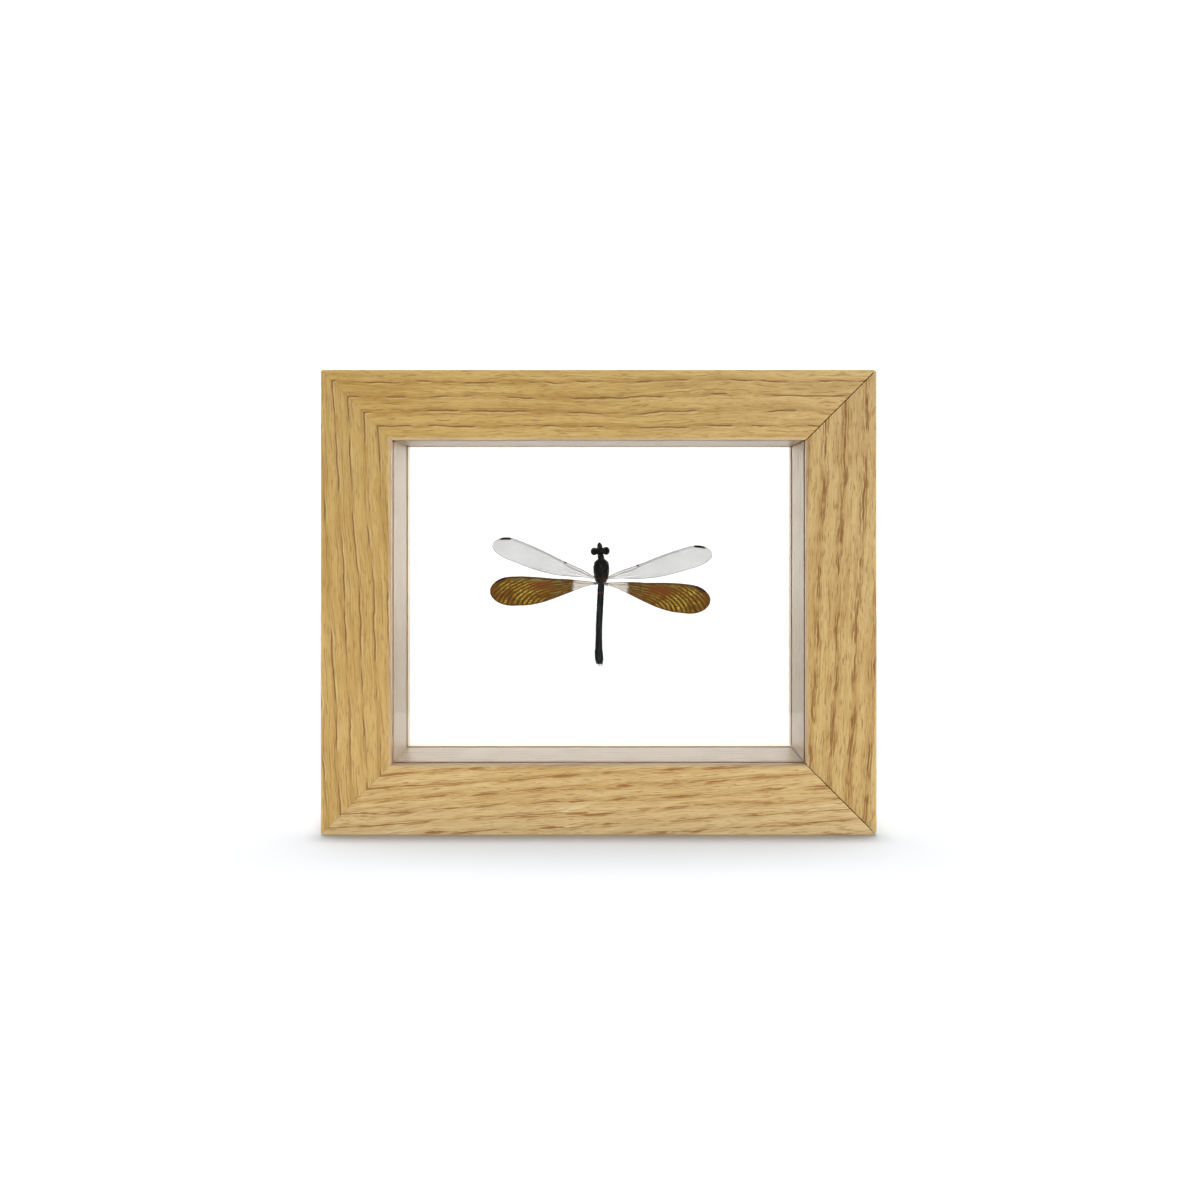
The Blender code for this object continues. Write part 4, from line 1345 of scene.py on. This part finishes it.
def wingSpots(name):
    # The stigma, a long dark cell behind the front edge near the tip, and the small knot at the nodus
    shape = wingShape[wingPlace[name][0]]
    start, end = shape["stigma"]
    t = np.linspace(0, 1, 30)
    x = start + (end - start) * t
    lead, _ = wingEdges(shape, x)
    half = wingBuild["stigma"] * np.sqrt(np.clip(1 - np.abs(2 * t - 1) ** 6, 0.02, 1))
    centre = onWing(name, x, lead + 0.02 - half * 0.80)
    top = onWing(name, x, lead + 0.02 + half * 0.20)
    across = (top - centre) / np.linalg.norm(top - centre, axis=1, keepdims=True)
    turn = turnsOf(14)
    away = np.array((0.0, 0.0, 1.0))
    rings = centre[:, None, :] + half[:, None, None] * np.cos(turn)[None, :, None] * across[:, None, :]
    rings = rings + 0.13 * np.sin(turn)[None, :, None] * away
    knotX = np.array([wingBuild["nodus"] * shape["length"]])
    knot = onWing(name, knotX, wingEdges(shape, knotX)[0] - 0.12)[0]
    return [rings], [ballRings(tuple(knot), (0.34, 0.22, 0.13), 14, 9)]


# Each kind of vein: dark, pale, its colour by the body, and from where to where that fades in millimetres
veinLook = {
    "paleVein": ((0.330, 0.310, 0.290), (0.480, 0.460, 0.440), (0.430, 0.340, 0.240), (3.0, 8.0)),
    "greyEdge": ((0.200, 0.165, 0.130), (0.290, 0.250, 0.210), (0.380, 0.280, 0.180), (2.5, 9.0)),
    "brownVein": ((0.095, 0.038, 0.008), (0.170, 0.072, 0.016), (0.540, 0.430, 0.300), (5.7, 6.5)),
    "brownEdge": ((0.060, 0.024, 0.006), (0.130, 0.055, 0.012), (0.470, 0.350, 0.220), (5.7, 6.5)),
    "stigmaBlack": ((0.022, 0.008, 0.004), (0.045, 0.016, 0.007), (0.03, 0.01, 0.005), (0.0, 1.0)),
    "knotBrown": ((0.060, 0.030, 0.014), (0.130, 0.075, 0.038), (0.15, 0.10, 0.05), (0.0, 1.0)),
}


def veinMaterial(name):
    # Mottled veins that change colour near the body
    dark, pale, base, fadeAt = veinLook[name]
    material, tree, inputs = newMaterial(name, Roughness=0.42, Specular_IOR_Level=0.3)
    place = onObject(tree)
    mottle = placeGroup(tree, mottleGroup, Place=place, Blotch=700.0, Grain=8000.0, Seed=5.0)
    colour = blendColours(tree, fade(tree, mottle["Blotches"], 0.3, 0.7), (*dark, 1.0), (*pale, 1.0))
    right, _, _ = partsOf(tree, place)
    out = distance(tree, right, insect["right"] * mm)
    nearBody = fade(tree, out, fadeAt[0] * mm, fadeAt[1] * mm, 1.0, 0.0)
    plug(tree, blendColours(tree, nearBody, colour, (*base, 1.0)), inputs["Base Color"])
    plug(tree, fade(tree, mottle["Grains"], 0.0, 0.8, 0.35, 0.55), inputs["Roughness"])
    return material


clearWing = {
    "colours": ((0.46, 0.47, 0.48, 1.0), (0.52, 0.52, 0.51, 1.0)),
    "smoke": 0.18,
    # The hindwing's clear stalk is tanned.
    "stalk": (0.620, 0.470, 0.290),
    "stalkSmoke": 0.34,
}


def clearWingMaterial():
    # Clear membrane with a faint smoke that gathers at the front and the tip
    material, tree, inputs = newMaterial("clearMembrane", Roughness=0.35, Specular_IOR_Level=0.12)
    material.surface_render_method = "BLENDED"
    x, share, _ = partsOf(tree, stored(tree, "wingSpot"))
    along, line, _ = partsOf(tree, stored(tree, "veinSpot"))
    streak = cloud(tree, vectorOf(tree, times(tree, along, 7.0), times(tree, line, 1.3)), 1.0, 2.0)
    plug(tree, blendColours(tree, streak, *clearWing["colours"]), inputs["Base Color"])
    smoke = fade(tree, streak, 0.25, 0.75, clearWing["smoke"] * 0.92, clearWing["smoke"] * 1.10)
    tip = fade(tree, x, 0.75, 1.0, 0.0, 0.05)
    front = fade(tree, share, 0.0, 0.16, 0.07, 0.0)
    plug(tree, plus(tree, smoke, tip, front), inputs["Alpha"])
    return material


shimmer = {
    "brown": (0.300, 0.120, 0.010),
    "dark": (0.095, 0.034, 0.003),
    "red": (0.280, 0.085, 0.014),
    "olive": (0.370, 0.190, 0.009),
    "grey": (0.370, 0.360, 0.100),
    "glint": (0.930, 0.740, 0.105),
    "rim": (0.135, 0.052, 0.008),
}


def buildShimmerGroup():
    # The hindwing's colours by place: span and width from the wing, line and run from its veins
    tree, take, give = groupWith(
        "wingShimmer",
        [("Spot", "Vector", None), ("Vein", "Vector", None), ("Seed", "Float", 0.0)]
        + [(label.title(), "Color", (*colour, 1.0)) for label, colour in shimmer.items()],
        [("Colour", "Color"), ("Glints", "Float"), ("Stain", "Float")],
    )
    x, share, _ = partsOf(tree, take["Spot"])
    along, line, _ = partsOf(tree, take["Vein"])

    def band(value, inLow, inHigh, outLow, outHigh):
        # 1 between two soft borders
        return times(tree, fade(tree, value, inLow, inHigh), fade(tree, value, outLow, outHigh, 1.0, 0.0))

    def noiseAt(alongScale, lineScale, detail, shift):
        spot = vectorOf(tree, times(tree, along, alongScale), times(tree, line, lineScale),
                        plus(tree, take["Seed"], shift))
        return cloud(tree, spot, 1.0, detail, 0.6)

    # Bands lie along the veins, and beads of glint follow one another along each band.
    bent = plus(tree, line, times(tree, noiseAt(2.0, 0.2, 1.0, 9.0), 1.2),
                times(tree, noiseAt(16.0, 0.7, 1.0, 17.0), 0.5))
    bent = times(tree, bent, 0.6)
    aside = distance(tree, bent, calc(tree, "ROUND", bent))
    middle = fade(tree, aside, 0.20, 0.38)
    broken = fade(tree, noiseAt(15.0, 0.9, 1.0, 29.0), 0.36, 0.56, 0.3, 1.0)
    gap = times(tree, fade(tree, aside, 0.05, 0.19, 1.0, 0.0), broken)
    bead = fade(tree, noiseAt(24.0, 1.3, 1.5, 0.0), 0.44, 0.56)
    drift = noiseAt(2.6, 0.16, 2.0, 4.0)
    mottle = noiseAt(10.0, 0.9, 3.0, 7.0)
    outer = times(
        tree,
        fade(tree, along, 0.95, 1.20),
        fade(tree, share, 0.04, 0.16),
        fade(tree, share, 0.90, 0.98, 1.0, 0.4),
        fade(tree, x, 0.92, 0.98, 1.0, 0.3),
    )
    red = times(tree, band(x, 0.34, 0.44, 0.56, 0.66), band(share, 0.10, 0.18, 0.42, 0.56))
    calm = minus(tree, 1.0, times(tree, red, 0.85))
    blotches = times(tree, fade(tree, mottle, 0.35, 0.65, 0.6, 0.0), calm)
    colour = blendColours(tree, blotches, take["Brown"], take["Dark"])
    colour = blendColours(tree, red, colour, take["Red"])
    dark = times(tree, gap, calm, calc(tree, "MAXIMUM", times(tree, outer, 0.9), 0.5))
    colour = blendColours(tree, dark, colour, take["Dark"])
    olive = times(tree, outer, middle, calm, fade(tree, drift, 0.34, 0.60, 0.25, 1.0))
    colour = blendColours(tree, olive, colour, take["Olive"])
    # Pale streaks run along the veins in the inner part, and behind the front edge.
    nearRoot = fade(tree, along, 1.00, 1.35, 1.0, 0.0)
    inner = times(tree, nearRoot, band(share, 0.14, 0.22, 0.92, 0.98), middle, calm)
    front = times(tree, band(share, 0.04, 0.08, 0.12, 0.19), band(x, 0.24, 0.32, 0.66, 0.90))
    streaky = fade(tree, noiseAt(6.0, 0.8, 3.0, 13.0), 0.43, 0.57)
    pale = times(tree, calc(tree, "MAXIMUM", inner, front), streaky, 0.9)
    colour = blendColours(tree, pale, colour, take["Grey"])
    ring = times(tree, band(x, 0.40, 0.56, 0.84, 0.95), band(share, 0.10, 0.22, 0.90, 0.98), calm)
    glint = times(tree, middle, bead, ring, fade(tree, drift, 0.36, 0.54))
    colour = blendColours(tree, glint, colour, take["Glint"])
    edge = calc(tree, "MAXIMUM", fade(tree, share, 0.0, 0.055, 1.0, 0.0), fade(tree, share, 0.965, 1.0))
    edge = calc(tree, "MAXIMUM", edge, fade(tree, x, 0.975, 0.998))
    plug(tree, blendColours(tree, times(tree, edge, 0.8), colour, take["Rim"]), give["Colour"])
    plug(tree, glint, give["Glints"])
    # The stain starts a fifth of the way out, a little sooner at the front edge.
    waveSpot = vectorOf(tree, times(tree, x, 9.0), times(tree, share, 5.0), take["Seed"])
    wave = times(tree, minus(tree, cloud(tree, waveSpot, 1.0, 2.0), 0.5), 0.07)
    border = plus(tree, x, wave, fade(tree, share, 0.0, 0.3, 0.018, 0.0))
    plug(tree, fade(tree, border, 0.188, 0.224), give["Stain"])
    return tree


def stainedWingMaterial(group, name, seed):
    material, tree, inputs = newMaterial(name, Roughness=0.34, Metallic=0.1, Specular_IOR_Level=0.08)
    material.surface_render_method = "BLENDED"
    look = placeGroup(tree, group, Spot=stored(tree, "wingSpot"), Vein=stored(tree, "veinSpot"), Seed=seed)
    colour = blendColours(tree, look["Stain"], (*clearWing["stalk"], 1.0), look["Colour"])
    plug(tree, colour, inputs["Base Color"])
    plug(tree, fade(tree, look["Glints"], 0.0, 1.0, 0.42, 0.22), inputs["Roughness"])
    plug(tree, fade(tree, look["Stain"], 0.0, 1.0, clearWing["stalkSmoke"], 0.96), inputs["Alpha"])
    return material


def buildWings():
    shimmerGroup = buildShimmerGroup()
    clear = clearWingMaterial()
    veins = {name: veinMaterial(name) for name in veinLook}
    kinds = {"fore": ("paleVein", "greyEdge"), "hind": ("brownVein", "brownEdge")}
    for seed, (name, (kind, _, _, _)) in enumerate(wingPlace.items()):
        if kind == "fore":
            membrane = clear
        else:
            membrane = stainedWingMaterial(shimmerGroup, f"stainedMembrane_{name}", 4.0 * seed)
        finishPiece(wingSheet(name), membrane, ["damselfly"], 60)
        for piece, veinName in zip(wingVeins(name), kinds[kind]):
            finishPiece(piece, veins[veinName], ["damselfly"], 60)
        stigma, knot = wingSpots(name)
        organ(f"stigma_{name}", stigma, veins["stigmaBlack"])
        organ(f"nodus_{name}", knot, veins["knotBrown"])
    print("wings done")


# The dot of glue

glueDot = {
    "radius": 0.95,
    "neck": 0.42,
    "up": 0.6,
    "top": 2.2,
    "foot": 3.0,
    "rows": 24,
    "sides": 40,
    "colour": (0.93, 0.92, 0.86, 1.0),
}


def buildGlue():
    # A bead turned about its axis: its neck is a share of the radius, and it swells to the foot as
    # sin(t)^0.7 through a quarter wave
    share = np.linspace(0, 1, glueDot["rows"])
    size = glueDot["neck"] + (1 - glueDot["neck"]) * np.sin(share * math.pi / 2) ** 0.7
    depth = glueDot["top"] + (glueDot["foot"] - glueDot["top"]) * share
    turn = turnsOf(glueDot["sides"])
    radius = (glueDot["radius"] * size)[:, None]
    right = radius * np.cos(turn)[None, :]
    up = glueDot["up"] + radius * np.sin(turn)[None, :]
    rings = np.stack([right, up, np.broadcast_to(depth[:, None], up.shape)], axis=-1)
    shell = turnOutwards(*closedRings(inFrame(rings)))
    material, tree, inputs = newMaterial(
        "clearGlue", Base_Color=glueDot["colour"], Roughness=0.12, IOR=1.48, Transmission_Weight=0.9
    )
    bumpInto(tree, inputs, cloud(tree, onObject(tree), 1500.0, 2.0), 0.00005, 0.3)
    finishPiece(meshPiece("glue_bead", *shell), material, ["glue_dot"], 50)
    print("glue done")


# The white table, the light and the camera

studio = {
    # The light that the camera sees, the light from behind and from ahead, between which directions one
    # turns into the other, and how the light from behind changes overhead
    "backdrop": 1.42,
    "behind": 2.32,
    "ahead": 0.055,
    "turn": (-0.05, 0.40),
    "overhead": -1.1,
    # The part of the wall straight behind, by how squarely it faces the frame, is dimmer, except through
    # the panes.
    "straight": (0.45, 0.70, 0.4),
    # Each lamp's strength, how many degrees wide it looks, and its tilts from straight down
    "lamps": {
        "fill": (1.78, 18.0, (82.0, 23.0)),
        "leftFill": (0.74, 30.0, (82.0, -50.0)),
        "narrowOverhead": (1.72, 4.5, (-2.9, 0.0)),
        "wideOverhead": (1.33, 26.0, (-8.0, 0.0)),
    },
    "table": ((-4.0, -0.2), (4.0, 0.75)),
    "tableWhites": ((0.690, 0.715, 0.745, 1.0), (0.710, 0.735, 0.760, 1.0)),
    "lens": 40.19,
    "sensor": 36.0,
    "shift": (-0.0053, -0.0609),
    "nearest": 0.01,
    "cameraPlace": (0.00166, -0.304, 0.0665),
}


def buildStudio():
    floor = bpy.data.meshes.new("table")
    (left, front), (right, rear) = studio["table"]
    corners = [(left, front, 0), (right, front, 0), (right, rear, 0), (left, rear, 0)]
    floor.from_pydata(corners, [], [(0, 1, 2, 3)])
    table = bpy.data.objects.new("table", floor)
    bpy.context.scene.collection.objects.link(table)
    material, tree, inputs = newMaterial("tableWhite", Roughness=0.9, Specular_IOR_Level=0.2)
    soft = cloud(tree, onObject(tree), 3.0, 1.0)
    plug(tree, blendColours(tree, soft, *studio["tableWhites"]), inputs["Base Color"])
    floor.materials.append(material)

    world = bpy.data.worlds.new("white studio")
    bpy.context.scene.world = world
    world.use_nodes = True
    tree = world.node_tree
    sky = tree.nodes["Background"]
    sky.inputs["Color"].default_value = (1.0, 1.0, 1.0, 1.0)
    # The light comes from the white wall behind, and less of it from above. The room in front is dim.
    _, back, up = partsOf(tree, tree.nodes.new("ShaderNodeTexCoord").outputs["Generated"])
    upwards = calc(tree, "MAXIMUM", up, 0.0)
    white = plus(tree, studio["behind"], times(tree, upwards, studio["overhead"]))
    room = fade(tree, back, *studio["turn"], studio["ahead"], white)
    squareFrom, squareTo, dim = studio["straight"]
    rayPath = tree.nodes.new("ShaderNodeLightPath").outputs
    passed = rayPath["Transmission Depth"]
    room = fade(tree, passed, 0.2, 0.8, fade(tree, back, squareFrom, squareTo, room, dim), room)
    # What the camera sees, also through the panes, is an even white. A ray counts one step when it leaves.
    seen = calc(tree, "LESS_THAN", minus(tree, rayPath["Ray Depth"], passed), 1.5)
    strength = plus(tree, times(tree, seen, studio["backdrop"]), times(tree, minus(tree, 1.0, seen), room))
    tree.links.new(strength, sky.inputs["Strength"])
    world.cycles.sampling_method = "NONE"

    for name, (power, spread, (tilt, turn)) in studio["lamps"].items():
        light = bpy.data.lights.new(name, "SUN")
        light.energy = power
        light.angle = math.radians(spread)
        lamp = bpy.data.objects.new(name, light)
        lamp.rotation_euler = (math.radians(tilt), 0, math.radians(turn))
        bpy.context.scene.collection.objects.link(lamp)

    scene = bpy.context.scene
    scene.view_settings.view_transform = "Standard"
    camera = bpy.data.cameras.new("camera")
    camera.lens = studio["lens"]
    camera.sensor_width = studio["sensor"]
    camera.shift_x, camera.shift_y = studio["shift"]
    camera.clip_start = studio["nearest"]
    holder = bpy.data.objects.new("camera", camera)
    holder.location = studio["cameraPlace"]
    holder.rotation_euler = (math.radians(90), 0, 0)
    scene.collection.objects.link(holder)
    scene.camera = holder
    print("studio done")


buildMouldings()
buildFittings()
buildBody()
buildWings()
buildGlue()
buildStudio()
